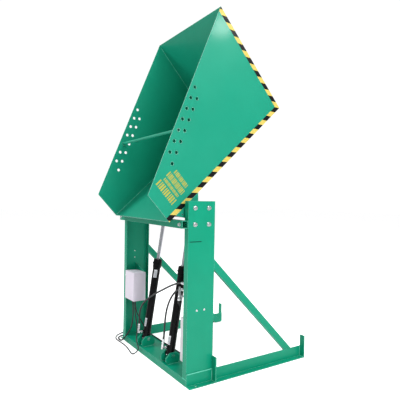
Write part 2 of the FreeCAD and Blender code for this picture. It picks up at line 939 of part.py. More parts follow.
UNIT_X, UNIT_Y = Dim.of(560.0), FRONT + 172
SHELF_Z, SHELF_THICK = Dim.of(574.0), Dim.of(8.0)
MANIFOLD_RISE, MOTOR_RISE = Dim.of(58.0), Dim.of(220.0)
TANK_LOW, TANK_TOP, TANK_WALL = Dim.of(135.0), Dim.of(522.0), Dim.of(3.0)
NECK_INNER, NECK_OUTER = Dim.of(43.0), Dim.of(50.0)
VALVE_LEFT, VALVE_FRONT = Dim.of(520.0), FRONT + 56
VALVE_WIDTH, VALVE_DEPTH, VALVE_RISE = Dim.of(70.0), Dim.of(44.0), Dim.of(210.0)
HOSE_PORT_Y = FRONT + 78
HOSE_PORTS = {"left": 806.0, "right": 750.0}
FITTING_REACH = Dim.of(50.0)


def rounded_box_outline(x_low, x_high, y_low, y_high, corner):
    """Rectangle with its corners cut off."""
    return [
        (x_low + corner, y_low), (x_high - corner, y_low), (x_high, y_low + corner),
        (x_high, y_high - corner), (x_high - corner, y_high), (x_low + corner, y_high),
        (x_low, y_high - corner), (x_low, y_low + corner),
    ]


def make_unit_bracket():
    """Bracket on the post's web whose shelf carries the pump's manifold."""
    web = HALF_WIDTH - size("channel_wall")
    thick = Dim.of(7.0)
    shelf = block((VALVE_LEFT - 10, VALVE_FRONT - 2, SHELF_Z), web - VALVE_LEFT + 10, 174, SHELF_THICK)
    upright = block((web - thick, FRONT + 54, SHELF_Z), thick, 160, 120)
    opening = round_bar(NECK_INNER, SHELF_THICK * 3, (UNIT_X, UNIT_Y, SHELF_Z - SHELF_THICK), "z")
    return cut(joined(shelf, upright), opening, *bracket_bolt_holes())


BRACKET_BOLT, BRACKET_BOLT_HOLE = Dim.of(8.0), Dim.of(9.0)
BRACKET_BOLT_Z = Dim.of(616.0)
BRACKET_BOLT_YS = (FRONT + 95, FRONT + 168)


def bracket_bolt_holes():
    """Cutters for the two holes through the right post's web and the unit's bracket."""
    return [
        round_bar(BRACKET_BOLT_HOLE / 2, 60, (HALF_WIDTH - 40, y, BRACKET_BOLT_Z))
        for y in BRACKET_BOLT_YS
    ]


def bracket_bolts():
    """Two bolts that hold the unit's bracket on the post's web, heads outside."""
    inside = HALF_WIDTH - size("channel_wall") - 7
    parts = []
    for y in BRACKET_BOLT_YS:
        z = BRACKET_BOLT_Z
        parts.append(
            joined(
                round_bar(9, 1.6, (HALF_WIDTH, y, z)),
                hexagon(13, 5.3, (HALF_WIDTH + 1.6, y, z)),
                round_bar(BRACKET_BOLT / 2, HALF_WIDTH + 2 - inside + 9, (inside - 9, y, z)),
                hexagon(13, 6.5, (inside - 6.5, y, z)),
            )
        )
    return parts


def make_manifold():
    """Aluminium block between the motor, the pump and the valves."""
    low = SHELF_Z + SHELF_THICK
    return block((UNIT_X - 40, VALVE_FRONT, low), 98, FRONT + 226 - VALVE_FRONT, MANIFOLD_RISE)


def make_reservoir():
    """Oil tank with a round neck that hangs it under the shelf."""
    low, high = Dim.of(446.0), Dim.of(636.0)
    front, back = FRONT + 58, FRONT + 236
    wall = TANK_WALL
    outline = rounded_box_outline(low, high, front, back, 14)
    outer = plate("xy", outline, TANK_TOP - TANK_LOW, start=TANK_LOW)
    neck = round_bar(NECK_OUTER, SHELF_Z - TANK_TOP + 1, (UNIT_X, UNIT_Y, TANK_TOP - 1), "z")
    inside = rounded_box_outline(low + wall, high - wall, front + wall, back - wall, 12)
    inner = plate("xy", inside, TANK_TOP - TANK_LOW - wall * 2, start=TANK_LOW + wall)
    mouth = round_bar(NECK_INNER, SHELF_Z - TANK_TOP + 20, (UNIT_X, UNIT_Y, TANK_TOP - 10), "z")
    return cut(joined(outer, neck), inner, mouth)


def make_gear_pump():
    """Gear pump and suction pipe inside the tank, hung from the manifold."""
    top = SHELF_Z + SHELF_THICK
    return joined(
        round_bar(38, 104, (UNIT_X, UNIT_Y, top - 104), "z"),
        round_bar(9, 240, (UNIT_X, UNIT_Y + 20, top - 340), "z"),
    )


TERMINAL_LOW = Dim.of(700.0)


def make_motor():
    """Electric motor standing on the manifold, with its terminal box behind."""
    low = SHELF_Z + SHELF_THICK + MANIFOLD_RISE
    top = low + MOTOR_RISE
    terminal = block((UNIT_X - 25, UNIT_Y + 50, TERMINAL_LOW), 50, 34, 70)
    return joined(
        round_bar(60, MOTOR_RISE, (UNIT_X, UNIT_Y, low), "z"),
        round_bar(66, 12, (UNIT_X, UNIT_Y, low), "z"),
        round_bar(64, 58, (UNIT_X, UNIT_Y, top - 58), "z"),
        terminal,
    )


def make_valve_block():
    """Valve block on the manifold's front, with the two hose ports in its side."""
    low = SHELF_Z + SHELF_THICK + MANIFOLD_RISE
    return block((VALVE_LEFT, VALVE_FRONT, low), VALVE_WIDTH, VALVE_DEPTH, VALVE_RISE)


def make_solenoid():
    """Solenoid coil and its nut on the valve block's top."""
    top = SHELF_Z + SHELF_THICK + MANIFOLD_RISE + VALVE_RISE
    x, y = VALVE_LEFT + VALVE_WIDTH / 2, VALVE_FRONT + VALVE_DEPTH / 2
    return joined(round_bar(19, 46, (x, y, top), "z"), hexagon(20, 9, (x, y, top + 46), "z"))


KNOB_X, KNOB_Y, KNOB_TOP = VALVE_LEFT - 48, FRONT + 36, Dim.of(668.0)
STUB_Z = Dim.of(700.0)


def make_lowering_valve():
    """Body of the hand lowering valve, on an elbow from the valve block's side."""
    cone = DOC.addObject("Part::Cone", "Cone")
    bind(cone, "Radius1", 18)
    bind(cone, "Radius2", 8)
    bind(cone, "Height", 118)
    cone.Placement.Base = vec(KNOB_X, KNOB_Y, KNOB_TOP)
    return joined(
        cone,
        round_bar(8, HOSE_PORT_Y - KNOB_Y + 8, (KNOB_X, KNOB_Y, STUB_Z), "y"),
        round_bar(8, VALVE_LEFT - KNOB_X + 8, (KNOB_X - 8, HOSE_PORT_Y, STUB_Z)),
    )


def make_lowering_knob():
    """Knob under the lowering valve, turned by hand to let the chute down."""
    cone = DOC.addObject("Part::Cone", "Cone")
    bind(cone, "Radius1", 3.5)
    bind(cone, "Radius2", 8)
    bind(cone, "Height", 26)
    cone.Placement.Base = vec(KNOB_X, KNOB_Y, KNOB_TOP - 52)
    grip = hexagon(32, 27, (KNOB_X, KNOB_Y, KNOB_TOP - 27), "z")
    return cut(joined(cone, grip), block((KNOB_X - 15, KNOB_Y - 1, KNOB_TOP - 55), 30, 2, 9))


def make_hose_fittings():
    """Straight hose ends screwed into the valve block."""
    parts = []
    for z in HOSE_PORTS.values():
        start = VALVE_LEFT - FITTING_REACH
        parts.append(
            joined(
                round_bar(10.5, FITTING_REACH, (start, HOSE_PORT_Y, z)),
                hexagon(22, 14, (VALVE_LEFT - 16, HOSE_PORT_Y, z)),
            )
        )
    return together(*parts)


ELBOW_REACH, ELBOW_RISE = 40.0, 40.0
ELBOW_TURNS = {"left": -14.0, "right": 0.0}


def elbow_end():
    """The hose end of a barrel's elbow, in the elbow's own frame: Y and Z."""
    return -(SIZES["barrel_outer"] / 2 + 14 + ELBOW_REACH), SIZES["port_height"] + ELBOW_RISE


def elbow_frame(name):
    """Frame of one elbow: the cylinder's own, turned about the port's axis."""
    port = Vector(0, 0, SIZES["port_height"])
    turn = FreeCAD.Rotation(Vector(0, 1, 0), ELBOW_TURNS[name])
    return cylinder_frame(SIDES[name]).multiply(FreeCAD.Placement(Vector(), turn, port))


def make_elbow(name):
    """Swivel elbow between a barrel's port and its hose."""
    y, z = elbow_end()
    port = SIZES["port_height"]
    start = -(SIZES["barrel_outer"] / 2 + 14)
    elbow = joined(
        round_bar(10, start - y, (0, y, port), "y"),
        hexagon(24, 12, (0, start - 12, port), "y"),
        round_bar(11, z - port + 11, (0, y, port - 11), "z"),
        hexagon(22, 12, (0, y, port + 14), "z"),
    )
    return moved(elbow, elbow_frame(name))


HOSE_ROUTES = {
    "left": [
        (-281, 16, 376), (-272, 22, 424), (-240, 27, 472), (-190, 32, 516), (-126, 38, 558),
        (-50, 44, 602), (36, 50, 646), (126, 57, 688), (212, 64, 730), (300, 71, 768),
    ],
    "right": [
        (248, 17, 400), (247, 25, 480), (256, 35, 556), (278, 47, 624), (314, 59, 682),
        (356, 70, 724),
    ],
}
HOSE_END = 58.0


def make_hose(name):
    """Pressure hose from a barrel's elbow up to the valve block."""
    y, z = elbow_end()
    frame = elbow_frame(name)
    first = [frame.multVec(Vector(0, y, z + rise)) for rise in (0, HOSE_END)]
    end = number(VALVE_LEFT - FITTING_REACH)
    last = [Vector(x, HOSE_PORT_Y.number, HOSE_PORTS[name]) for x in (end - HOSE_END, end)]
    points = [*first, *from_front(HOSE_ROUTES[name]), *last]
    return cable(f"hose_{name}", points, SIZES["hose_outer"])


def gland_end(name):
    """Where a cable leaves its gland, and the end of its first straight run below."""
    x, y = GLANDS[name]
    low = (BOX_LOW - GLAND_DROP).number
    return [(x, y, low), (x, y, low - 64)]


def make_motor_cable():
    """Cable from the box along the base channel's rear edge and up to the motor."""
    x, y, z = UNIT_X.number, (UNIT_Y + 75 - FRONT).number, TERMINAL_LOW.number
    route = gland_end("motor") + [
        (-568, 112, 310), (-576, 150, 240), (-580, 190, 170),
        (-572, 225, 115), (-545, 244, 80), (-490, 249, 65), (440, 249, 64.5),
        (500, 249, 78), (540, 248, 112), (x, y, 170), (x, y, z),
    ]
    return cable("motor_cable", from_front(route), 12.0)


POWER_ROUTE = [
    (-510, 49, 322), (-507, 45, 256), (-512, 37, 190), (-522, 22, 136), (-536, -2, 92),
    (-552, -22, 58), (-578, -36, 28), (-614, -42, 10), (-656, -43, 7.2), (-696, -36, 7.2),
    (-730, -18, 7.2), (-752, 14, 7.2), (-762, 60, 7.2), (-764, 140, 7.2), (-772, 240, 7.2),
    (-766, 350, 7.2), (-774, 470, 7.2), (-768, 600, 7.2), (-772, 730, 7.2),
]
PLUG_Y = 850.0
PENDANT_ROUTE = [
    (-452, 47, 318), (-414, 43, 258), (-378, 36, 198), (-346, 22, 146),
    (-308, -4, 108), (-268, -14, 84), (-232, -20, 67), (-205, -27, 55), (-189.4, -35.6, 48.2),
    (-180.8, -48.8, 37.8), (-180.5, -63.7, 26), (-188.8, -77.2, 15.4), (-204, -86.1, 8.5),
    (-222.7, -88.7, 6.2), (-246, -88, 5.7), (-282, -82, 5.7), (-332, -72, 5.7),
    (-395, -63, 5.7), (-465, -58, 5.7), (-535, -58, 5.7), (-600, -63, 5.7), (-660, -67, 5.7),
    (-716, -59, 5.7), (-764, -38, 5.7), (-806, -2, 5.7), (-838, 44, 5.7), (-858, 98, 6.5),
]
PENDANT_Y = 150.0


def make_power_lead():
    """Supply lead from the box over the base's front corner to its plug."""
    route = gland_end("power") + POWER_ROUTE + [(-770, PLUG_Y, 16)]
    return cable("power_lead", from_front(route), 14.0)


def make_power_plug():
    """Plug on the supply lead's end, lying behind the left leg."""
    y = FRONT + PLUG_Y
    return joined(
        block((-788, y, 0), 36, 46, 34),
        *[round_bar(2.4, 20, (x, y + 45, z), "y") for x, z in ((-777, 12), (-763, 12), (-770, 24))],
    )


def make_pendant_lead():
    """Lead of the hand control from the box over the base's front edge."""
    route = gland_end("pendant") + PENDANT_ROUTE + [(-870, PENDANT_Y, 17)]
    return cable("pendant_lead", from_front(route), 11.0)


def make_pendant():
    """Housing of the hand control, with wells for its two buttons."""
    y = FRONT + PENDANT_Y
    shell = plate("xy", rounded_box_outline(-898, -842, y, y + 150, 8), 38)
    wells = [round_bar(10.3, 16, (-870, y + offset, 26), "z") for offset in (60, 105)]
    return cut(shell, *wells)


def make_button(offset):
    """Push button standing out of the hand control."""
    return round_bar(10, 12, (-870, FRONT + PENDANT_Y + offset, 32), "z")


# --------------------------------------------------------------------------- the whole machine


def build_nodes():
    """Make every node of the machine."""
    node(make_base_channel(), "base_channel")
    node(make_top_beam(), "top_beam")
    node(make_guards(), "leg_guards")
    node(make_bearing_inserts(), "bearing_inserts")
    node(together(*beam_bolts(), *bearing_bolts(), *bracket_bolts()), "frame_bolts")
    node(make_base_clevis(), "base_clevis_plates")
    node(make_base_pins(), "base_pins")
    node(moved(make_pivot_shaft(), CHUTE), "pivot_shaft")
    node(moved(make_back_plate(), CHUTE), "chute_back")
    node(moved(make_floor_plate(), CHUTE), "chute_floor")
    node(moved(make_rod_lugs(), CHUTE), "rod_lugs")
    node(moved(make_rod_pin_heads(), CHUTE), "rod_pin_heads")
    node(moved(make_retaining_bar(), CHUTE), "retaining_bar")
    for name, side in SIDES.items():
        node(make_post(side), f"post_{name}")
        node(make_leg(side), f"leg_{name}")
        node(make_brace(side), f"brace_{name}")
        node(make_bearing_housing(side), f"bearing_housing_{name}")
        node(moved(make_side_plate(side), CHUTE), f"chute_side_{name}")
        node(moved(make_ear(side), CHUTE), f"hinge_ear_{name}")
        node(make_barrel(side), f"barrel_{name}")
        node(make_gland(side), f"gland_{name}")
        node(make_piston(side), f"piston_{name}")
        node(make_rod(side), f"piston_rod_{name}")
        node(make_rod_eye(side), f"rod_eye_{name}")
        node(make_elbow(name), f"hose_elbow_{name}")
        node(make_hose(name), f"hose_{name}")
    node(make_control_box(), "control_box")
    node(make_control_lid(), "control_box_lid")
    node(together(make_box_bracket(), make_unit_bracket()), "welded_brackets")
    node(make_contactor(), "contactor")
    node(make_cable_glands(), "cable_glands")
    node(make_manifold(), "pump_manifold")
    node(make_reservoir(), "reservoir")
    node(make_gear_pump(), "gear_pump")
    node(make_motor(), "pump_motor")
    node(make_valve_block(), "valve_block")
    node(make_solenoid(), "solenoid_coil")
    node(make_lowering_valve(), "lowering_valve")
    node(make_lowering_knob(), "lowering_knob")
    node(make_hose_fittings(), "hose_fittings")
    node(make_motor_cable(), "motor_cable")
    node(make_power_lead(), "power_lead")
    node(make_power_plug(), "power_plug")
    node(make_pendant_lead(), "pendant_lead")
    node(make_pendant(), "pendant_housing")
    node(make_button(60), "button_raise")
    node(make_button(105), "button_lower")


def check_and_write():
    """Refuse a failed object or a bad shape, then write one STEP file for each node."""
    DOC.recompute()
    for thing in DOC.Objects:
        if {"Invalid", "Error"} & set(thing.State):
            raise RuntimeError(f"{thing.Label} ({thing.Name}) failed to build: {thing.State}")
    for thing in NODES:
        shape = thing.Shape
        if shape.isNull() or not shape.isValid() or not shape.Solids:
            raise RuntimeError(f"{thing.Label} has no valid solid")
    os.makedirs("parts", exist_ok=True)
    for thing in NODES:
        thing.Shape.exportStep(os.path.join("parts", f"{thing.Label}.step"))
    print(f"{len(NODES)} nodes, {sum(len(thing.Shape.Solids) for thing in NODES)} solids")


build_nodes()
check_and_write()
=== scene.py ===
"""Looks of the hydraulic container dumper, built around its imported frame."""

import json
import logging
import math
from dataclasses import dataclass, field
from enum import Enum, StrEnum

import bmesh
import bpy
from mathutils import Matrix, Vector


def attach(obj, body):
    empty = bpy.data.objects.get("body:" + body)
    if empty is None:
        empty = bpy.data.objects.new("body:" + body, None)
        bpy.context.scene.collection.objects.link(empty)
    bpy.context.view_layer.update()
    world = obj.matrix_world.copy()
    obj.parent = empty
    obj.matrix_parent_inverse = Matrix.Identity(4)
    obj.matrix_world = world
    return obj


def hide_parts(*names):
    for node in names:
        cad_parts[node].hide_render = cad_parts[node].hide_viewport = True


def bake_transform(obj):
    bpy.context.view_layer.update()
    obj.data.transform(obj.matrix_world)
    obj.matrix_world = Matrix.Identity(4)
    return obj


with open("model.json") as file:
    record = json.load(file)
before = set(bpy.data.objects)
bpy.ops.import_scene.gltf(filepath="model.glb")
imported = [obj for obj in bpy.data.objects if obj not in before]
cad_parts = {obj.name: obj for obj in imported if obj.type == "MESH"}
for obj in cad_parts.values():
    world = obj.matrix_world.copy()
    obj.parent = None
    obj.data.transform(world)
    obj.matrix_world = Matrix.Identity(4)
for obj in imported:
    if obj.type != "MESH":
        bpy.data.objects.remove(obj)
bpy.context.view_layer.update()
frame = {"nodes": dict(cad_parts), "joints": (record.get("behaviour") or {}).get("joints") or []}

LOG = logging.getLogger("dumper")
MM = 0.001
Point = tuple[float, float, float]
Pair = tuple[float, float]
Seam = tuple[Point, Point, float]
# Noise values between which one patch of colour turns into the next.
PATCH_RANGE = (0.35, 0.7)
# Cosine between the rounded and the real normal where an edge starts to show, and where it is full.
EDGE_RANGE = (0.985, 0.8)
# Share of the paler edge colour, part wear and part painted highlight, at its fullest.
EDGE_SHARE = 0.8
# Smears are this much finer than the colour's patches.
SMEAR_RATIO = 2.3
# Edges sharper than this, in degrees, are shaded sharp.
SHARP_DEG = 32.0
# Vertices closer than this are one, in millimetres.
MERGE_MM = 1e-4


def linear(colour: str) -> tuple[float, float, float, float]:
    """Turn an sRGB hex colour into Blender's linear colour.

    Args:
        colour: Six hex digits after a hash sign.

    Returns:
        Red, green, blue and an alpha of one.
    """
    parts = [int(colour[i : i + 2], 16) / 255 for i in (1, 3, 5)]
    return (*[p / 12.92 if p <= 0.04045 else ((p + 0.055) / 1.055) ** 2.4 for p in parts], 1.0)


def add(
    tree: bpy.types.NodeTree, kind: str, inputs: dict | None = None, **settings: object
) -> bpy.types.Node:
    """Add a shader node with its settings, values and links.

    Args:
        tree: The material's node tree.
        kind: The node's type, without its ShaderNode prefix.
        inputs: Value or source socket for each input, by name or number.
        settings: Properties of the node itself.

    Returns:
        The new node.
    """
    made = tree.nodes.new(f"ShaderNode{kind}")
    for name, value in settings.items():
        setattr(made, name, value)
    for key, value in (inputs or {}).items():
        if isinstance(value, bpy.types.NodeSocket):
            tree.links.new(value, made.inputs[key])
        else:
            made.inputs[key].default_value = value
    return made


# ------------------------------------------------------------------------------- finishes


@dataclass(frozen=True)
class Finish:
    """A surface finish; its fields set the shader, its relief gives the fine texture."""

    name: str
    colour: str
    roughness: float
    metallic: float = 0.0
    ior: float = 1.5
    shade: str = ""
    patch_mm: float = 120.0
    patch_share: float = 0.5
    gloss_swing: float = 0.06
    grain_mm: float = 4.0
    grain_depth_mm: float = 0.05
    # Paler colour near edges, standing for wear of the paint and for a painted highlight where
    # edges catch the light.
    edge: str = ""
    edge_mm: float = 1.5
    coat: float = 0.0
    coat_roughness: float = 0.12

    def material(self) -> bpy.types.Material:
        """Build the material once and give the same one after that."""
        known = bpy.data.materials.get(self.name)
        if known is not None:
            return known
        made = bpy.data.materials.new(self.name)
        made.use_nodes = True
        tree = made.node_tree
        shader = tree.nodes["Principled BSDF"]
        shader.inputs["Metallic"].default_value = self.metallic
        shader.inputs["Coat Weight"].default_value = self.coat
        shader.inputs["Coat Roughness"].default_value = self.coat_roughness
        if self.metallic < 0.5:
            shader.inputs["IOR"].default_value = self.ior
        place = add(tree, "TexCoord").outputs["Object"]
        rounded = add(tree, "Bevel", {"Radius": self.edge_mm * MM}, samples=4)
        normal = rounded.outputs["Normal"]
        colour = self.paint(tree, place, normal)
        tree.links.new(colour, shader.inputs["Base Color"])
        tree.links.new(self.gloss(tree, place), shader.inputs["Roughness"])
        tree.links.new(self.relief(tree, place, normal), shader.inputs["Normal"])
        return made

    def paint(
        self, tree: bpy.types.NodeTree, place: bpy.types.NodeSocket, normal: bpy.types.NodeSocket
    ) -> bpy.types.NodeSocket:
        """Colour with slow patches, and a paler tone near edges, for wear of the paint and a
        painted highlight where the edges catch the light.

        Args:
            tree: The material's node tree.
            place: Object coordinates.
            normal: The rounded normal, which leaves the face's own normal near an edge.

        Returns:
            The colour socket.
        """
        patches = add(
            tree, "TexNoise",
            {"Vector": place, "Scale": 1000 / self.patch_mm, "Detail": 4.0, "Roughness": 0.6},
        )
        share = add(
            tree, "MapRange",
            {
                0: patches.outputs["Fac"], 1: PATCH_RANGE[0], 2: PATCH_RANGE[1], 3: 0.0,
                4: self.patch_share,
            },
        )
        mixed = add(
            tree, "MixRGB",
            {0: share.outputs[0], 1: linear(self.colour), 2: linear(self.shade or self.colour)},
        )
        if not self.edge:
            return mixed.outputs[0]
        # Paler colour near edges: part wear, part a painted highlight where the edges catch the
        # light.
        face = add(tree, "NewGeometry").outputs["Normal"]
        match = add(tree, "VectorMath", {0: normal, 1: face}, operation="DOT_PRODUCT")
        worn_and_lit_edge = add(
            tree, "MapRange",
            {
                0: match.outputs["Value"], 1: EDGE_RANGE[0], 2: EDGE_RANGE[1], 3: 0.0,
                4: EDGE_SHARE,
            },
        )
        return add(
            tree, "MixRGB", {0: worn_and_lit_edge.outputs[0], 1: mixed.outputs[0], 2: linear(self.edge)}
        ).outputs[0]

    def gloss(
        self, tree: bpy.types.NodeTree, place: bpy.types.NodeSocket
    ) -> bpy.types.NodeSocket:
        """Roughness that wanders a little, as wiped and dusty paint does."""
        smears = add(
            tree, "TexNoise",
            {"Vector": place, "Scale": 1000 / self.patch_mm * SMEAR_RATIO, "Detail": 5.0},
        )
        low, high = self.roughness - self.gloss_swing, self.roughness + self.gloss_swing
        return add(
            tree, "MapRange", {0: smears.outputs["Fac"], 1: 0.3, 2: 0.7, 3: low, 4: high}
        ).outputs[0]

    def relief(
        self, tree: bpy.types.NodeTree, place: bpy.types.NodeSocket, normal: bpy.types.NodeSocket
    ) -> bpy.types.NodeSocket:
        """Fine grain of the surface, at its real size in millimetres."""
        grain = add(
            tree, "TexNoise", {"Vector": place, "Scale": 1000 / self.grain_mm, "Detail": 2.0}
        )
        return add(
            tree, "Bump",
            {
                "Height": grain.outputs["Fac"], "Distance": self.grain_depth_mm * MM,
                "Strength": 1.0, "Normal": normal,
            },
        ).outputs[0]


@dataclass(frozen=True)
class LinedMetal(Finish):
    """Metal with the fine lines that grinding, milling or turning leaves along one axis."""

    line_mm: float = 2.0
    stretch: Point = (1.0, 1.0, 0.02)

    def relief(
        self, tree: bpy.types.NodeTree, place: bpy.types.NodeSocket, normal: bpy.types.NodeSocket
    ) -> bpy.types.NodeSocket:
        """Lines from a noise that is stretched along one axis."""
        drawn = add(tree, "Mapping", {"Vector": place, "Scale": self.stretch})
        lines = add(
            tree, "TexNoise",
            {"Vector": drawn.outputs[0], "Scale": 1000 / self.line_mm, "Detail": 3.0},
        )
        return add(
            tree, "Bump",
            {
                "Height": lines.outputs["Fac"], "Distance": self.grain_depth_mm * MM,
                "Strength": 0.6, "Normal": normal,
            },
        ).outputs[0]


@dataclass(frozen=True)
class HazardTape(Finish):
    """Vinyl tape whose stripes lie level while the chute is tipped over."""

    stripe: str = "#060507"
    period_mm: float = 98.0
    first_mm: float = 1319.0
    turn_deg: float = 2.8

    def paint(
        self, tree: bpy.types.NodeTree, place: bpy.types.NodeSocket, normal: bpy.types.NodeSocket
    ) -> bpy.types.NodeSocket:
        """Level stripes that slant across both of the taped edges."""
        turned = add(
            tree, "Mapping", {"Vector": place, "Rotation": (math.radians(self.turn_deg), 0, 0)}
        )
        split = add(tree, "SeparateXYZ", {0: turned.outputs[0]})
        across = add(
            tree, "Math",
            {0: split.outputs[2], 1: 1000 / self.period_mm, 2: -self.first_mm / self.period_mm},
            operation="MULTIPLY_ADD",
        )
        step = add(tree, "Math", {0: across.outputs[0]}, operation="FRACT")
        bar = add(tree, "MapRange", {0: step.outputs[0], 1: 0.505, 2: 0.495})
        faded = super().paint(tree, place, normal)
        return add(
            tree, "MixRGB", {0: bar.outputs[0], 1: faded, 2: linear(self.stripe)}
        ).outputs[0]


@dataclass(frozen=True)
class WovenCover(Finish):
    """Rubber cover with the spiral print of the cloth it was cured in."""

    pitch_mm: float = 3.0

    def relief(
        self, tree: bpy.types.NodeTree, place: bpy.types.NodeSocket, normal: bpy.types.NodeSocket
    ) -> bpy.types.NodeSocket:
        """Shallow bands along the hose."""
        bands = add(
            tree, "TexWave",
            {"Vector": place, "Scale": 1000 / self.pitch_mm / 20, "Distortion": 1.0},
            bands_direction="DIAGONAL",
        )
        return add(
            tree, "Bump",
            {
                "Height": bands.outputs["Fac"], "Distance": self.grain_depth_mm * MM,
                "Strength": 0.5, "Normal": normal,
            },
        ).outputs[0]


# Gloss alkyd enamel, sprayed: an even green with faint orange peel; its pale, thin edges are part
# wear and part a painted highlight.
ENAMEL = Finish(
    "green_enamel", "#069A78", 0.34, shade="#048C6C", patch_mm=420, grain_mm=7,
    grain_depth_mm=0.03, edge="#9AEBD6", edge_mm=3.0, ior=1.33, coat=0.08,
)
# The same enamel on the chute, whose big sheets were wiped down: longer, fainter patches.
# Its very pale edge colour is mostly a painted highlight where the plates' cut edges catch the
# light, with some wear.
CHUTE_ENAMEL = Finish(
    "chute_enamel", "#159A7C", 0.36, shade="#0F8D70", patch_mm=700, grain_mm=7,
    grain_depth_mm=0.03, edge="#CFF8EE", edge_mm=4.5, ior=1.33, coat=0.12,
)
# Weld metal under the enamel, glossier on its ripples; its pale green is a painted highlight for
# the glints on the beads.
WELD_PAINTED_GLINT = Finish(
    "weld_painted_glint", "#74DCC2", 0.22, shade="#2BB08D", patch_mm=18, grain_mm=2.5,
    grain_depth_mm=0.25, edge="", coat=0.3,
)
# Gloss black enamel on the cylinders, a little dusty.
BLACK_ENAMEL = Finish(
    "black_enamel", "#050406", 0.32, shade="#0A090C", patch_mm=90, gloss_swing=0.08, grain_mm=5,
    grain_depth_mm=0.04, edge="#26252B", edge_mm=0.8, ior=1.27, coat=0.0,
)
# Hard chrome, ground and polished: bright with very fine rings.
HARD_CHROME = LinedMetal(
    "hard_chrome", "#E2E1EA", 0.13, metallic=1.0, shade="#B8BBC2", gloss_swing=0.03,
    grain_depth_mm=0.01, line_mm=1.2, stretch=(0.05, 0.05, 1.0),
)
# Bright zinc plating: pale, slightly blue, mottled.
ZINC = Finish(
    "bright_zinc", "#E9EAEC", 0.24, metallic=1.0, shade="#CDCFD3", patch_mm=9, gloss_swing=0.1,
    grain_mm=1.5, grain_depth_mm=0.02, edge_mm=0.7,
)
# Turned and oiled steel of shafts and pins.
TURNED_STEEL = LinedMetal(
    "turned_steel", "#8E8F92", 0.32, metallic=1.0, shade="#77787C", grain_depth_mm=0.03,
    line_mm=1.5, stretch=(1.0, 0.05, 0.05),
)
# Milled aluminium of the hydraulic blocks.
MILLED_ALLOY = LinedMetal(
    "milled_aluminium", "#C5C7CB", 0.34, metallic=1.0, shade="#B2B5BB", grain_depth_mm=0.03,
    line_mm=2.0, stretch=(0.04, 1.0, 1.0), edge="#E6E8EA", edge_mm=0.8,
)
# Pale powder coat of the control box, with its fine leather-like grain drawn coarse enough to show.
POWDER_COAT = Finish(
    "pale_powder_coat", "#E3DBE8", 0.48, shade="#D9D2E0", patch_mm=160, grain_mm=2.2,
    grain_depth_mm=0.05, edge="#F4F0F7", edge_mm=1.5,
)
# Milky blow-moulded polyethylene of the oil tank.
MILKY_POLYMER = Finish(
    "milky_polymer", "#E2DEE4", 0.36, shade="#D3CCCB", patch_mm=80, grain_mm=3,
    grain_depth_mm=0.06, edge="#F1EEF2", edge_mm=2.0,
)
# Black moulded nylon of glands, plugs and coils.
MOULDED_BLACK = Finish(
    "moulded_black", "#1B1B1E", 0.5, shade="#232327", patch_mm=30, grain_mm=0.9,
    grain_depth_mm=0.03, edge="#35353A", edge_mm=0.6,
)
# Wrapped synthetic rubber of the pressure hoses.
HOSE_COVER = WovenCover(
    "wrapped_hose_cover", "#1C1B1E", 0.42, shade="#29282C", patch_mm=25, grain_depth_mm=0.12,
    edge_mm=0.4, coat=0.15,
)
# Soft PVC sheath of the cables.
CABLE_SHEATH = Finish(
    "pvc_sheath", "#202024", 0.4, shade="#2A2A2F", patch_mm=40, grain_mm=2, grain_depth_mm=0.02,
    edge_mm=0.3,
)
# Yellow and black vinyl tape.
TAPE = HazardTape(
    "hazard_tape", "#DCC765", 0.36, shade="#D0B850", patch_mm=60, grain_mm=3,
    grain_depth_mm=0.02, edge_mm=0.2, ior=1.36,
)
# Plain yellow vinyl.
YELLOW_VINYL = Finish(
    "yellow_vinyl", "#BDB43A", 0.4, shade="#A5A133", patch_mm=40, grain_mm=3,
    grain_depth_mm=0.02, edge_mm=0.2,
)
# White printed paper label under a clear film.
WHITE_LABEL = Finish(
    "white_label", "#E9E9EE", 0.35, shade="#DCDCE4", patch_mm=20, grain_mm=2,
    grain_depth_mm=0.01, edge_mm=0.2,
)
# Grey print on that label, as plain bars.
GREY_PRINT = Finish(
    "grey_print", "#8D8E96", 0.4, shade="#7C7D86", patch_mm=10, grain_mm=2,
    grain_depth_mm=0.01, edge_mm=0.2,
)
GREEN_CAP = Finish(
    "green_button_cap", "#1E8A4A", 0.3, shade="#1A7D42", patch_mm=10, grain_mm=1,
    grain_depth_mm=0.01, edge_mm=0.6,
)
RED_CAP = Finish(
    "red_button_cap", "#B3201C", 0.3, shade="#A31C19", patch_mm=10, grain_mm=1,
    grain_depth_mm=0.01, edge_mm=0.6,
)


# ------------------------------------------------------------------------------- modelling


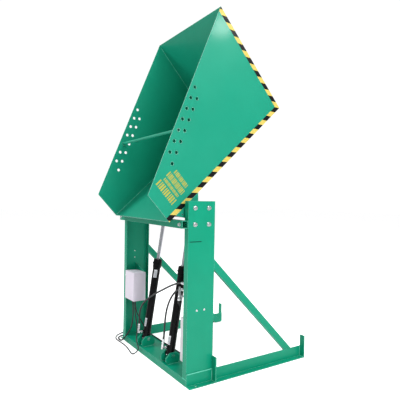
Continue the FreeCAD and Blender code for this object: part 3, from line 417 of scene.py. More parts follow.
class Form:
    """One mesh being modelled, in millimetres, from bmesh operators."""

    def __init__(self) -> None:
        """Start with nothing."""
        self.mesh = bmesh.new()

    def _placed(self, verts: list, matrix: Matrix) -> list:
        """Move new vertices from their own frame to their place."""
        bmesh.ops.transform(self.mesh, matrix=matrix, verts=verts)
        return verts

    def _edges_of(self, elements: list) -> list:
        """Edges of some vertices, each once, in an order that is the same every time."""
        return list(dict.fromkeys(e for v in elements for e in v.link_edges))

    def _soften(self, edges: list, radius: float, segments: int) -> None:
        """Round edges."""
        if radius > 0:
            bmesh.ops.bevel(
                self.mesh, geom=edges, offset=radius, segments=segments, affect="EDGES",
                profile=0.5, material=-1, offset_type="OFFSET", clamp_overlap=True,
            )

    def block(
        self, low: Point, high: Point, radius: float = 1.0, segments: int = 2
    ) -> "Form":
        """Add a box with rounded edges.

        Args:
            low: Its lowest corner.
            high: Its highest corner.
            radius: Radius of its edges.
            segments: Facets of each rounded edge.

        Returns:
            This form.
        """
        size = Vector(high) - Vector(low)
        middle = (Vector(high) + Vector(low)) / 2
        new = bmesh.ops.create_cube(self.mesh, size=1.0)["verts"]
        bmesh.ops.scale(self.mesh, vec=size, verts=new)
        self._placed(new, Matrix.Translation(middle))
        self._soften(self._edges_of(new), radius, segments)
        return self

    def rod(
        self, start: Point, end: Point, radius: float, chamfer: float = 0.8, sides: int = 32,
        segments: int = 1,
    ) -> "Form":
        """Add a round or many-sided bar between two points.

        Args:
            start: Middle of its first face.
            end: Middle of its last face.
            radius: Radius over its corners.
            chamfer: Size of the chamfer round both faces.
            sides: Number of sides; six makes a hexagon.
            segments: Facets of each chamfer.

        Returns:
            This form.
        """
        first, last = Vector(start), Vector(end)
        span = last - first
        new = bmesh.ops.create_cone(
            self.mesh, cap_ends=True, cap_tris=False, segments=sides, radius1=radius,
            radius2=radius, depth=span.length,
        )["verts"]
        turn = span.to_track_quat("Z", "Y").to_matrix().to_4x4()
        self._placed(new, Matrix.Translation((first + last) / 2) @ turn)
        caps = [f for v in new for f in v.link_faces if len(f.verts) == sides and sides > 4]
        rims = list(dict.fromkeys(e for f in dict.fromkeys(caps) for e in f.edges))
        self._soften(rims, chamfer, segments)
        return self

    def lathe(
        self, profile: list[Pair], start: Point, direction: Point, steps: int = 48
    ) -> "Form":
        """Add a solid of revolution.

        Args:
            profile: Radius and height pairs, from the first height to the last.
            start: Where height zero lies.
            direction: Its axis.
            steps: Facets round the axis.

        Returns:
            This form.
        """
        rim = [self.mesh.verts.new((r, 0, h)) for r, h in profile]
        edges = [self.mesh.edges.new(pair) for pair in zip(rim, rim[1:])]
        bmesh.ops.spin(
            self.mesh, geom=rim + edges, cent=(0, 0, 0), axis=(0, 0, 1), dvec=(0, 0, 0),
            angle=math.tau, steps=steps, use_merge=True, use_duplicate=False,
        )
        verts = self._island(rim)
        bmesh.ops.remove_doubles(self.mesh, verts=verts, dist=MERGE_MM)
        verts = [v for v in verts if v.is_valid]
        turn = Vector(direction).to_track_quat("Z", "Y").to_matrix().to_4x4()
        self._placed(verts, Matrix.Translation(Vector(start)) @ turn)
        return self

    def _island(self, seeds: list) -> list:
        """Every vertex joined to the seeds by edges."""
        seen, waiting = dict.fromkeys(seeds), list(seeds)
        while waiting:
            for edge in waiting.pop().link_edges:
                for vert in edge.verts:
                    if vert not in seen:
                        seen[vert] = None
                        waiting.append(vert)
        return list(seen)

    def slab(self, corners: list[Point], thickness: Point, radius: float = 0.0) -> "Form":
        """Add a flat plate from its corners, thickened along a vector.

        Args:
            corners: Its outline.
            thickness: Vector from the first face to the second.
            radius: Radius of its edges.

        Returns:
            This form.
        """
        ring = [self.mesh.verts.new(c) for c in corners]
        face = self.mesh.faces.new(ring)
        made = bmesh.ops.extrude_face_region(self.mesh, geom=[face], use_keep_orig=True)
        lifted = [g for g in made["geom"] if isinstance(g, bmesh.types.BMVert)]
        bmesh.ops.translate(self.mesh, vec=thickness, verts=lifted)
        new = ring + lifted
        self._soften(self._edges_of(new), radius, 2)
        return self

    def bead(self, start: Point, end: Point, radius: float, pitch: float = 4.0) -> "Form":
        """Add a rippled weld bead along a straight seam.

        Args:
            start: Where the seam starts.
            end: Where it ends.
            radius: Half its width.
            pitch: Distance between ripples.

        Returns:
            This form.
        """
        way = Vector(end) - Vector(start)
        count = max(2, int(way.length / pitch))
        profile = [(0.01, 0.0)]
        for step in range(count * 2 + 1):
            swell = 0.86 + 0.14 * math.cos(math.pi * step)
            profile.append((radius * swell, way.length * step / (count * 2)))
        profile.append((0.01, way.length))
        return self.lathe(profile, start, tuple(way), 8)

    def ring_bead(
        self, middle: Point, direction: Point, ring: float, radius: float
    ) -> "Form":
        """Add a rippled weld bead round a circle.

        Args:
            middle: The circle's middle.
            direction: Its axis.
            ring: Its radius.
            radius: Half the bead's width.

        Returns:
            This form.
        """
        circle = bmesh.ops.create_circle(self.mesh, segments=8, radius=radius)["verts"]
        edges = self._edges_of(circle)
        bmesh.ops.rotate(self.mesh, verts=circle, matrix=Matrix.Rotation(math.pi / 2, 3, "X"))
        bmesh.ops.translate(self.mesh, verts=circle, vec=(ring, 0, 0))
        bmesh.ops.spin(
            self.mesh, geom=circle + edges, cent=(0, 0, 0), axis=(0, 0, 1), dvec=(0, 0, 0),
            angle=math.tau, steps=72, use_merge=True, use_duplicate=False,
        )
        verts = self._island(circle)
        bmesh.ops.remove_doubles(self.mesh, verts=verts, dist=MERGE_MM)
        verts = [v for v in verts if v.is_valid]
        for vert in verts:
            angle = math.atan2(vert.co.y, vert.co.x)
            out = Vector((math.cos(angle), math.sin(angle), 0)) * ring
            vert.co = out + (vert.co - out) * (0.88 + 0.12 * math.cos(angle * 24))
        turn = Vector(direction).to_track_quat("Z", "Y").to_matrix().to_4x4()
        self._placed(verts, Matrix.Translation(Vector(middle)) @ turn)
        return self

    def finish(
        self, name: str, body: str, finish: Finish, slot: str, *replaced: str,
        at: Matrix | None = None,
    ) -> bpy.types.Object:
        """Make the object, dress it and let it ride on its body.

        Args:
            name: The piece's name.
            body: Body that it rides on.
            finish: Its finish.
            slot: The record's material slot.
            replaced: CAD nodes that it stands for.
            at: Frame in which the whole form was drawn.

        Returns:
            The object.
        """
        if at is not None:
            bmesh.ops.transform(self.mesh, matrix=at, verts=self.mesh.verts)
        bmesh.ops.recalc_face_normals(self.mesh, faces=self.mesh.faces)
        bmesh.ops.scale(self.mesh, vec=(MM, MM, MM), verts=self.mesh.verts)
        data = bpy.data.meshes.new(name)
        self.mesh.to_mesh(data)
        self.mesh.free()
        data.shade_smooth()
        data.set_sharp_from_angle(angle=math.radians(SHARP_DEG))
        piece = bpy.data.objects.new(name, data)
        bpy.context.scene.collection.objects.link(piece)
        return settle(piece, body, finish, slot, *replaced)


def settle(
    piece: bpy.types.Object, body: str, finish: Finish, slot: str, *replaced: str
) -> bpy.types.Object:
    """Give a new piece its material and body, and hide the CAD nodes that it stands for.

    Args:
        piece: The new piece.
        body: Body that it rides on.
        finish: Its finish.
        slot: The record's material slot; not used.
        replaced: CAD nodes that it stands for.

    Returns:
        The same piece.
    """
    piece.data.materials.append(finish.material())
    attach(piece, body)
    if replaced:
        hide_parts(*replaced)
    LOG.info("%s rides on %s", piece.name, body)
    return piece


def line_through(name: str, points: list[Point], diameter: float) -> bpy.types.Object:
    """Make a smooth round curve over a route.

    Args:
        name: The curve's name.
        points: Its route, in metres.
        diameter: Its thickness, in metres.

    Returns:
        The curve object.
    """
    curve = bpy.data.curves.new(name, "CURVE")
    curve.dimensions = "3D"
    curve.bevel_depth = diameter / 2
    curve.bevel_resolution = 5
    curve.resolution_u = 10
    curve.use_fill_caps = True
    spline = curve.splines.new("NURBS")
    spline.points.add(len(points) - 1)
    for slot, point in zip(spline.points, points):
        slot.co = (*point, 1.0)
    spline.order_u = 3
    spline.use_endpoint_u = True
    made = bpy.data.objects.new(name, curve)
    bpy.context.scene.collection.objects.link(made)
    return made


# ------------------------------------------------------------------------------- shared places


class Side(StrEnum):
    """The two sides of the machine, as its operator names them."""

    RIGHT = "right"
    LEFT = "left"

    @property
    def sign(self) -> float:
        """Sign of X on this side."""
        return 1.0 if self is Side.RIGHT else -1.0


def joint(name: str) -> dict:
    """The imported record's joint of that name."""
    return next(j for j in frame["joints"] if j["name"] == name)


# Y of the posts' front faces.
FRONT = -662.0
# Heights of the left and the right hose's port on the valve block.
HOSE_PORTS: Pair = (806.0, 750.0)
# X of the cylinders' middles, to both sides.
CYLINDER_XS = (-250, 250)
PIVOT = Vector(joint("chute_tilt")["pos_m"]) / MM
TILT = -joint("chute_tilt")["range_deg"][0]
CHUTE = Matrix.Translation(PIVOT) @ Matrix.Rotation(math.radians(TILT), 4, "X")


def cylinder_frame(side: Side) -> Matrix:
    """Frame of one cylinder: origin at its base pin, Z along its rod, in millimetres."""
    base = Vector(joint(f"barrel_{side}_swing")["pos_m"]) / MM
    axis = Vector(joint(f"rod_{side}_slide")["axis"])
    lean = math.atan2(axis.y, axis.z)
    return Matrix.Translation(base) @ Matrix.Rotation(-lean, 4, "X")


# ------------------------------------------------------------------------------- camera and light


@dataclass
class View:
    """Camera, floor and studio light."""

    yaw: float = 56.76
    pitch: float = -0.53
    roll: float = 0.96
    lens: float = 36.9
    sensor: float = 36.0
    eye: Point = (3.4927, -2.4134, 1.5643)
    floor_half: float = 40.0
    floor_drop: float = 0.0005
    floor_glow: float = 0.62
    room: float = 0.42
    backdrop: float = 1.05
    lamps: tuple[tuple[str, Point, Point, float, float], ...] = (
        ("key", (-3.2, -4.4, 6.0), (0, -0.5, 1.6), 2.2, 290),
        ("fill", (5.5, -1.0, 3.6), (0, -0.3, 1.5), 3.0, 205),
        ("top", (0.5, 1.0, 6.5), (0, -0.3, 1.0), 3.0, 210),
        ("glint", (5.25, 3.08, 5.43), (0.57, -0.3, 3.0), 0.35, 32),
    )

    def camera(self) -> None:
        """Place the camera at the height of a standing onlooker, off the right front corner."""
        yaw, pitch, roll = (math.radians(a) for a in (self.yaw, self.pitch, self.roll))
        ahead = Vector(
            (-math.sin(yaw) * math.cos(pitch), math.cos(yaw) * math.cos(pitch), math.sin(pitch))
        )
        across = Vector((math.cos(yaw), math.sin(yaw), 0))
        up = across.cross(ahead)
        right = across * math.cos(roll) + up * math.sin(roll)
        top = up * math.cos(roll) - across * math.sin(roll)
        data = bpy.data.cameras.new("camera")
        data.lens = self.lens
        data.sensor_width = self.sensor
        made = bpy.data.objects.new("camera", data)
        turn = Matrix((right, top, -ahead)).transposed().to_4x4()
        made.matrix_world = Matrix.Translation(self.eye) @ turn
        bpy.context.scene.collection.objects.link(made)
        bpy.context.scene.camera = made

    def floor(self) -> None:
        """Lay a wide pale floor."""
        form = bmesh.new()
        bmesh.ops.create_grid(form, x_segments=1, y_segments=1, size=self.floor_half)
        data = bpy.data.meshes.new("floor")
        form.to_mesh(data)
        form.free()
        made = bpy.data.objects.new("floor", data)
        made.location.z = -self.floor_drop
        bpy.context.scene.collection.objects.link(made)
        plain = bpy.data.materials.new("pale_floor")
        plain.use_nodes = True
        shader = plain.node_tree.nodes["Principled BSDF"]
        shader.inputs["Base Color"].default_value = linear("#F2F2F3")
        shader.inputs["Roughness"].default_value = 0.9
        shader.inputs["Emission Color"].default_value = (1, 1, 1, 1)
        seen = add(plain.node_tree, "LightPath").outputs["Is Camera Ray"]
        glow = add(plain.node_tree, "MapRange", {0: seen, 3: 0.0, 4: self.floor_glow})
        plain.node_tree.links.new(glow.outputs[0], shader.inputs["Emission Strength"])
        data.materials.append(plain)

    def lamp(self, name: str, place: Point, target: Point, size: float, power: float) -> None:
        """Hang one square soft light.

        Args:
            name: Its name.
            place: Where it hangs, in metres.
            target: What it faces.
            size: Length of its side, in metres.
            power: Its power, in watts.
        """
        data = bpy.data.lights.new(name, "AREA")
        data.shape = "SQUARE"
        data.size = size
        data.energy = power
        made = bpy.data.objects.new(name, data)
        facing = Vector(target) - Vector(place)
        turn = facing.to_track_quat("-Z", "Y").to_matrix().to_4x4()
        made.matrix_world = Matrix.Translation(place) @ turn
        bpy.context.scene.collection.objects.link(made)

    def light(self) -> None:
        """Light the scene from a bright room, three soft lamps and a small one that glints."""
        world = bpy.data.worlds.new("white_room")
        world.use_nodes = True
        tree = world.node_tree
        seen = add(tree, "LightPath").outputs["Is Camera Ray"]
        strength = add(tree, "MapRange", {0: seen, 3: self.room, 4: self.backdrop}).outputs[0]
        tree.links.new(strength, tree.nodes["Background"].inputs["Strength"])
        tree.nodes["Background"].inputs["Color"].default_value = (1, 1, 1, 1)
        bpy.context.scene.world = world
        for lamp in self.lamps:
            self.lamp(*lamp)
        bpy.context.scene.view_settings.view_transform = "Standard"

    def build(self) -> None:
        """Make all of it."""
        self.camera()
        self.floor()
        self.light()


# ------------------------------------------------------------------------------- CAD nodes


NODE_FINISHES: dict[Finish, tuple[str, ...]] = {
    ENAMEL: (
        "base_channel", "post_", "leg_", "brace_", "top_beam", "base_clevis", "welded_brackets",
        "bearing_housing",
    ),
    CHUTE_ENAMEL: ("chute_", "hinge_ear", "rod_lugs", "retaining_bar"),
    BLACK_ENAMEL: ("barrel_", "gland_", "rod_eye", "pump_motor"),
    HARD_CHROME: ("piston_rod",),
    TURNED_STEEL: ("pivot_shaft", "piston_left", "piston_right", "bearing_inserts"),
    ZINC: (
        "frame_bolts", "base_pins", "rod_pin_heads", "hose_fittings", "hose_elbow",
        "lowering_valve",
    ),
    MILLED_ALLOY: ("pump_manifold", "valve_block", "gear_pump"),
    POWDER_COAT: ("control_box",),
    MILKY_POLYMER: ("reservoir",),
    MOULDED_BLACK: (
        "contactor", "cable_glands", "power_plug", "pendant_housing", "lowering_knob",
        "solenoid_coil",
    ),
    HOSE_COVER: ("hose_left", "hose_right"),
    CABLE_SHEATH: ("motor_cable", "power_lead", "pendant_lead"),
    GREEN_CAP: ("button_raise",),
    RED_CAP: ("button_lower",),
}


def dress_nodes() -> None:
    """Give every CAD node its procedural finish."""
    for name, piece in frame["nodes"].items():
        finish = next(f for f, heads in NODE_FINISHES.items() if name.startswith(heads))
        piece.data.materials.clear()
        piece.data.materials.append(finish.material())


# ------------------------------------------------------------------------------- sub-assemblies


@dataclass
class Cords:
    """The two free leads, over their routes in metres; Y is measured from the posts' front."""

    power_length: float = 1.486
    power_diameter: float = 0.014
    pendant_length: float = 1.394
    pendant_diameter: float = 0.011
    power_x: float = -520.0
    pendant_x: float = -472.0
    gland_y: float = 50.0
    box_floor: float = 446.0
    straight: float = 64.0
    power: list[Point] = field(
        default_factory=lambda: [
            (-510, 49, 322), (-507, 45, 256), (-512, 37, 190), (-522, 22, 136), (-536, -2, 92),
            (-552, -22, 58), (-578, -36, 28), (-614, -42, 10), (-656, -43, 7.2),
            (-696, -36, 7.2), (-730, -18, 7.2), (-752, 14, 7.2), (-762, 60, 7.2),
            (-764, 140, 7.2), (-772, 240, 7.2), (-766, 350, 7.2), (-774, 470, 7.2),
            (-768, 600, 7.2), (-772, 730, 7.2), (-770, 850, 16),
        ]
    )
    pendant: list[Point] = field(
        default_factory=lambda: [
            (-452, 47, 318), (-414, 43, 258), (-378, 36, 198), (-346, 22, 146),
            (-308, -4, 108), (-268, -14, 84), (-232, -20, 67), (-205, -27, 55),
            (-189.4, -35.6, 48.2), (-180.8, -48.8, 37.8), (-180.5, -63.7, 26),
            (-188.8, -77.2, 15.4), (-204, -86.1, 8.5), (-222.7, -88.7, 6.2), (-246, -88, 5.7),
            (-282, -82, 5.7), (-332, -72, 5.7), (-395, -63, 5.7), (-465, -58, 5.7),
            (-535, -58, 5.7), (-600, -63, 5.7), (-660, -67, 5.7), (-716, -59, 5.7),
            (-764, -38, 5.7), (-806, -2, 5.7), (-838, 44, 5.7), (-858, 98, 6.5), (-870, 150, 17),
        ]
    )

    def route(self, x: float, points: list[Point]) -> list[Point]:
        """The whole route from a gland at x, in metres."""
        y = self.gland_y
        top = [(x, y, self.box_floor), (x, y, self.box_floor - self.straight)]
        return [(a * MM, (b + FRONT) * MM, c * MM) for a, b, c in top + points]

    def build(self) -> None:
        """Make both leads."""
        power = self.route(self.power_x, self.power)
        lead = line_through("supply_lead", power, self.power_diameter)
        settle(lead, "frame", CABLE_SHEATH, "cable_sheath", "power_lead")
        HandControl().mains_plug()
        pendant = self.route(self.pendant_x, self.pendant)
        lead = line_through("hand_control_lead", pendant, self.pendant_diameter)
        settle(lead, "frame", CABLE_SHEATH, "cable_sheath", "pendant_lead")


@dataclass
class Markings:
    """Hazard tape and the plain yellow panel on the chute's side plates."""

    outer: float = 574.0
    back: float = 141.0
    low: float = -1384.0
    high: float = 229.0
    floor_end: float = 1209.0
    width: float = 42.0
    film: float = 0.35
    slant: float = 0.48
    wide_bar: float = 0.62
    narrow_bar: float = 0.4
    rows: tuple[tuple[float, float, float, float, int], ...] = (
        (60, 121, 232, 462, 11), (18, 44, 246, 440, 17), (-49, 2, 236, 452, 14),
        (-104, -65, 252, 424, 11),
    )

    def tape(self, side: Side) -> None:
        """Lay tape along the back edge and the floor edge of one side plate."""
        form = Form()
        sign = side.sign
        x = self.outer * sign
        lift = (self.film * sign, 0, 0)
        inner = self.back + self.width
        edge = self.low + self.width
        form.slab(
            [(x, self.back, self.low), (x, inner, edge), (x, inner, self.high),
             (x, self.back, self.high)],
            lift,
        )
        form.slab(
            [(x, self.back, self.low), (x, self.floor_end, self.low),
             (x, self.floor_end - self.width * self.slant, edge), (x, inner, edge)],
            lift,
        )
        form.finish(f"hazard_tape_{side}", "chute", TAPE, "black_plastic", at=CHUTE)

    def panel(self, side: Side) -> None:
        """Lay rows of plain yellow bars where such a machine has its notice."""
        form = Form()
        sign = side.sign
        x = self.outer * sign
        for low, high, start, end, count in self.rows:
            step = (end - start) / count
            for i in range(count):
                a = start + step * i
                b = a + step * (self.wide_bar if i % 3 else self.narrow_bar)
                form.slab(
                    [(x, a, low), (x, b, low), (x, b, high), (x, a, high)],
                    (self.film * sign, 0, 0),
                )
        form.finish(f"notice_bars_{side}", "chute", YELLOW_VINYL, "black_plastic", at=CHUTE)

    def build(self) -> None:
        """Mark both sides."""
        for side in Side:
            self.tape(side)
            self.panel(side)


def hexagon_radius(across_flats: float) -> float:
    """Radius over the corners of a hexagon."""
    return across_flats / math.sqrt(3.0)


def mixed(point: Point, direction: Vector, distance: float) -> Point:
    """The point a distance along a direction."""
    return tuple(Vector(point) + direction * distance)


class Bolt(Enum):
    """Standard bolts: thread, width across flats and washer radius, in millimetres."""

    M20 = (20, 30, 19)
    M16 = (16, 24, 16)
    M8 = (8, 13, 9)


@dataclass
class Fasteners:
    """Hexagon bolts with washers and nuts in the frame's holes.

    The shares are of a bolt's thread, save the face's, which is of its width across flats.
    """

    half_width: float = 654.0
    web: float = 7.0
    spacing: float = 68.0
    bearing: float = 22.0
    beam_x: float = 610.0
    beam_front: float = -57.0
    beam_z: float = 1331.0
    bracket_z: float = 616.0
    bracket_ys: Pair = (95.0, 168.0)
    washer_share: float = 0.15
    face_share: float = 0.47
    head_share: float = 0.64
    nut_share: float = 0.8
    head_chamfer: float = 0.09
    nut_chamfer: float = 0.08
    face_rise: float = 0.8

    def bolt(self, form: Form, place: Point, out: Point, bolt: Bolt, grip: float) -> None:
        """Add one bolt, its washer and its nut.

        Args:
            form: The form it joins.
            place: Where its washer meets the face.
            out: Direction in which its head points.
            bolt: Its standard sizes.
            grip: Thickness of what it clamps.
        """
        size, flats, washer = bolt.value
        way = Vector(out)
        thick = size * self.washer_share
        head = mixed(place, way, thick)
        form.rod(place, head, washer, 0.5, 48)
        face = mixed(head, way, self.face_rise)
        form.rod(head, face, flats * self.face_share, 0.2, 32)
        radius = hexagon_radius(flats)
        form.rod(
            face, mixed(head, way, size * self.head_share), radius, size * self.head_chamfer, 6,
            segments=3,
        )
        nut = mixed(place, way, -grip)
        chamfer = size * self.nut_chamfer
        form.rod(nut, mixed(nut, way, -size * self.nut_share), radius, chamfer, 6, segments=3)
        form.rod(nut, mixed(nut, way, -size), size / 2, chamfer, 32)

    def build(self) -> None:
        """Put every bolt in place."""
        form = Form()
        for sign in (side.sign for side in Side):
            for a in (-1, 1):
                for b in (-1, 1):
                    place = (
                        self.half_width * sign, PIVOT.y + self.spacing * a,
                        PIVOT.z + self.spacing * b,
                    )
                    self.bolt(form, place, (sign, 0, 0), Bolt.M20, self.web + self.bearing)
            place = (self.beam_x * sign, FRONT + self.beam_front, self.beam_z)
            self.bolt(form, place, (0, -1, 0), Bolt.M16, self.web - self.beam_front)
        for y in self.bracket_ys:
            place = (self.half_width, FRONT + y, self.bracket_z)
            self.bolt(form, place, (1, 0, 0), Bolt.M8, self.web * 2)
        form.finish("bolts_and_nuts", "frame", ZINC, "zinc", "frame_bolts")


@dataclass
class Welds:
    """Weld beads along the seams that show."""

    half_width: float = 654.0
    post_rear: float = 264.0
    flange: float = 58.0
    guard_rear: float = 1324.0
    guard_reach: float = 60.0
    rise: float = 102.0
    brace_low: float = 1032.0
    brace_width: float = 38.0
    plates: tuple[float, ...] = (-53.5, -41.5, 41.5, 53.5)
    clevis_ys: Pair = (30, 126)
    clevis_ends: Pair = (28, 128)
    back: float = 141.0
    lug_zs: Pair = (-393, -227)
    ear_zs: Pair = (-140, 148)
    ear_x: float = 562.0
    plate_x: float = 568.0
    floor_z: float = -1378.0

    def frame_seams(self) -> list[Seam]:
        """Start, end and half width of each bead on the frame."""
        seams: list[Seam] = []
        top, rear = self.flange, self.post_rear
        for sign in (side.sign for side in Side):
            web = self.half_width * sign
            edge = (self.half_width - top) * sign
            foot = web + 5 * sign
            seams += [
                ((foot, 2, self.rise), (foot, rear - 2, self.rise), 5.0),
                ((web - 4 * sign, 0, top), (edge, 0, top), 4.0),
                ((web, rear, 20), (web, rear, top + 40), 4.0),
            ]
            for y in (rear, self.guard_rear):
                front = y - 10
                out = (self.half_width + self.guard_reach) * sign
                root = web + 6.5 * sign
                seams += [
                    ((web + 8 * sign, front, 6), (out - 2 * sign, front, 6), 3.5),
                    ((root, front, 8), (root, front, 100), 3.5),
                ]
            inner = (self.half_width - self.brace_width) * sign
            seams += [
                ((web - 2 * sign, rear, self.brace_low), (inner, rear, self.brace_low), 3.5),
                ((web, 1224, 76), (web, 1290, 10), 3.0),
            ]
        first, last = self.clevis_ys
        for middle in CYLINDER_XS:
            for gap in self.plates:
                x = middle + gap
                seams.append(((x, first, top), (x, last, top), 3.5))
            for y in self.clevis_ends:
                for low, high in (self.plates[2:], self.plates[:2]):
                    seams.append(((middle + low, y, top), (middle + high, y, top), 3.5))
        return seams

    def chute_seams(self) -> list[Seam]:
        """Start, end and half width of each bead on the chute, in its own frame."""
        seams: list[Seam] = []
        for middle in CYLINDER_XS:
            for gap in self.plates:
                x = middle + gap
                low, high = self.lug_zs
                seams.append(((x, self.back, low), (x, self.back, high), 3.5))
        near, floor = 148, self.floor_z
        for sign in (side.sign for side in Side):
            inner = self.ear_x * sign
            low, high = self.ear_zs
            seams.append(((inner, self.back, low), (inner, self.back, high), 3.5))
            plate = self.plate_x * sign
            seams += [
                ((plate, near, floor + 8), (plate, near, 220), 3.0),
                ((plate, 160, floor), (plate, 1190, floor), 3.0),
            ]
        seams.append(((-560, near, floor), (560, near, floor), 3.0))
        return seams

    def build(self) -> None:
        """Lay both sets of beads."""
        form = Form()
        for start, end, radius in self.frame_seams():
            form.bead(
                (start[0], start[1] + FRONT, start[2]), (end[0], end[1] + FRONT, end[2]), radius
            )
        form.finish("frame_welds", "frame", WELD_PAINTED_GLINT, "green_paint")
        form = Form()
        for start, end, radius in self.chute_seams():
            form.bead(start, end, radius, pitch=5.0)
        form.finish("chute_welds", "chute", WELD_PAINTED_GLINT, "green_paint", at=CHUTE)


@dataclass
class Cylinder:
    """What shows on one lift cylinder: its gland, wiper, beads, labels and nipple."""

    side: Side
    barrel: float = 38.0
    start: float = 30.0
    mouth: float = 712.0
    gland: float = 43.0
    gland_length: float = 86.0
    rod: float = 17.5
    port: float = 58.0
    eye: float = 31.0
    half_eye: float = 40.0
    film: float = 0.35
    print_lift: float = 0.3
    label_length: float = 80.0

    def build(self) -> None:
        """Make the pieces, drawn in the cylinder's own frame."""
        frame_of = cylinder_frame(self.side)
        body = f"barrel_{self.side}"
        top = self.mouth + self.gland_length
        outer = self.gland
        form = Form()
        form.lathe(
            [
                (self.rod + 0.6, self.mouth), (outer - 2, self.mouth), (outer, self.mouth + 2),
                (outer, self.mouth + 16), (outer - 1.6, self.mouth + 17.5),
                (outer - 1.6, self.mouth + 21), (outer, self.mouth + 22.5),
                (outer, top - 12), (outer - 3, top - 4), (outer - 8, top - 1),
                (self.rod + 9, top), (self.rod + 7, top - 3), (self.rod + 0.6, top - 3),
                (self.rod + 0.6, self.mouth),
            ],
            (0, 0, 0), (0, 0, 1), 64,
        )
        middle = self.mouth + self.gland_length / 2
        form.rod((0, -outer + 2, middle), (0, -outer - 9, middle), 8, 1.0, 32)
        form.rod(
            (0, -outer - 1, middle), (0, -outer - 7, middle), hexagon_radius(15), 0.8, 6, segments=2
        )
        form.finish(
            f"gland_body_{self.side}", body, BLACK_ENAMEL, "black_paint",
            f"gland_{self.side}", at=frame_of,
        )
        form = Form()
        form.lathe(
            [
                (self.rod + 0.2, top - 4), (self.rod + 6.6, top - 4), (self.rod + 6.6, top + 1),
                (self.rod + 3.4, top + 3.2), (self.rod + 0.9, top + 4), (self.rod + 0.2, top + 2),
                (self.rod + 0.2, top - 4),
            ],
            (0, 0, 0), (0, 0, 1), 64,
        )
        form.finish(
            f"rod_wiper_{self.side}", body, MOULDED_BLACK, "black_plastic", at=frame_of
        )
        form = Form()
        form.ring_bead((0, 0, self.start + 14), (0, 0, 1), self.barrel, 2.4)
        form.ring_bead((0, -self.barrel - 1, self.port), (0, 1, 0), 14.5, 2.2)
        form.ring_bead((0, 0, self.mouth - 1), (0, 0, 1), self.barrel + 0.4, 2.2)
        for x in (-self.half_eye, self.half_eye):
            form.bead((x * 0.96, 21, 22), (x * 0.96, 28, 30), 2.4)
        form.finish(
            f"barrel_welds_{self.side}", body, BLACK_ENAMEL, "black_paint", at=frame_of
        )
        self.labels(frame_of, body)
        form = Form()
        form.rod((0, -self.eye + 2, -4), (0, -self.eye - 4, -4), hexagon_radius(9), 0.6, 6)
        form.lathe(
            [(0.01, 0), (3, 0), (3, 3), (1.6, 4.2), (2.6, 6), (2.2, 7.6), (0.8, 8.2), (0.01, 8.2)],
            (0, -self.eye - 4, -4), (0, -1, 0), 24,
        )
        form.finish(f"grease_nipple_{self.side}", body, ZINC, "zinc", at=frame_of)

    def label(
        self, form: Form, low: float, high: float, middle: float, span: float, lift: float = 0.0
    ) -> None:
        """Wrap one label on the barrel.

        Args:
            form: The form it joins.
            low: Height of its lower edge.
            high: Height of its upper edge.
            middle: Bearing of its middle round the barrel, in degrees from +X.
            span: Angle that it covers, in degrees.
            lift: Height above the barrel, for print on a label.
        """
        steps, base = 12, self.barrel + lift
        rows = []
        for i in range(steps + 1):
            angle = math.radians(middle + span * (i / steps - 0.5))
            across = Vector((math.cos(angle), math.sin(angle), 0))
            rows.append(
                [
                    form.mesh.verts.new(across * radius + Vector((0, 0, z)))
                    for radius, z in (
                        (base + 0.02, low), (base + self.film, low),
                        (base + self.film, high), (base + 0.02, high),
                    )
                ]
            )
        for a, b in zip(rows, rows[1:]):
            for i in range(4):
                j = (i + 1) % 4
                form.mesh.faces.new((a[i], a[j], b[j], b[i]))
        form.mesh.faces.new(rows[0])
        form.mesh.faces.new(list(reversed(rows[-1])))

    def labels(self, frame_of: Matrix, body: str) -> None:
        """Wrap the cylinder's white labels, with plain bars for their print."""
        form = Form()
        upper, lower = -36, -80
        if self.side is Side.LEFT:
            self.label(form, 610, 688, upper, 50)
        low = 118 if self.side is Side.LEFT else 86
        self.label(form, low, low + self.label_length, lower, 46)
        form.finish(
            f"cylinder_labels_{self.side}", body, WHITE_LABEL, "tank_white", at=frame_of
        )
        form = Form()
        rows = [(low + 9 + 10 * i, low + 13 + 10 * i, lower, 36) for i in range(6)]
        if self.side is Side.LEFT:
            rows += [(618 + 10 * i, 622 + 10 * i, upper, 38) for i in range(6)]
        for row in rows:
            self.label(form, *row, lift=self.print_lift)
        form.finish(
            f"label_print_{self.side}", body, GREY_PRINT, "black_plastic", at=frame_of
        )


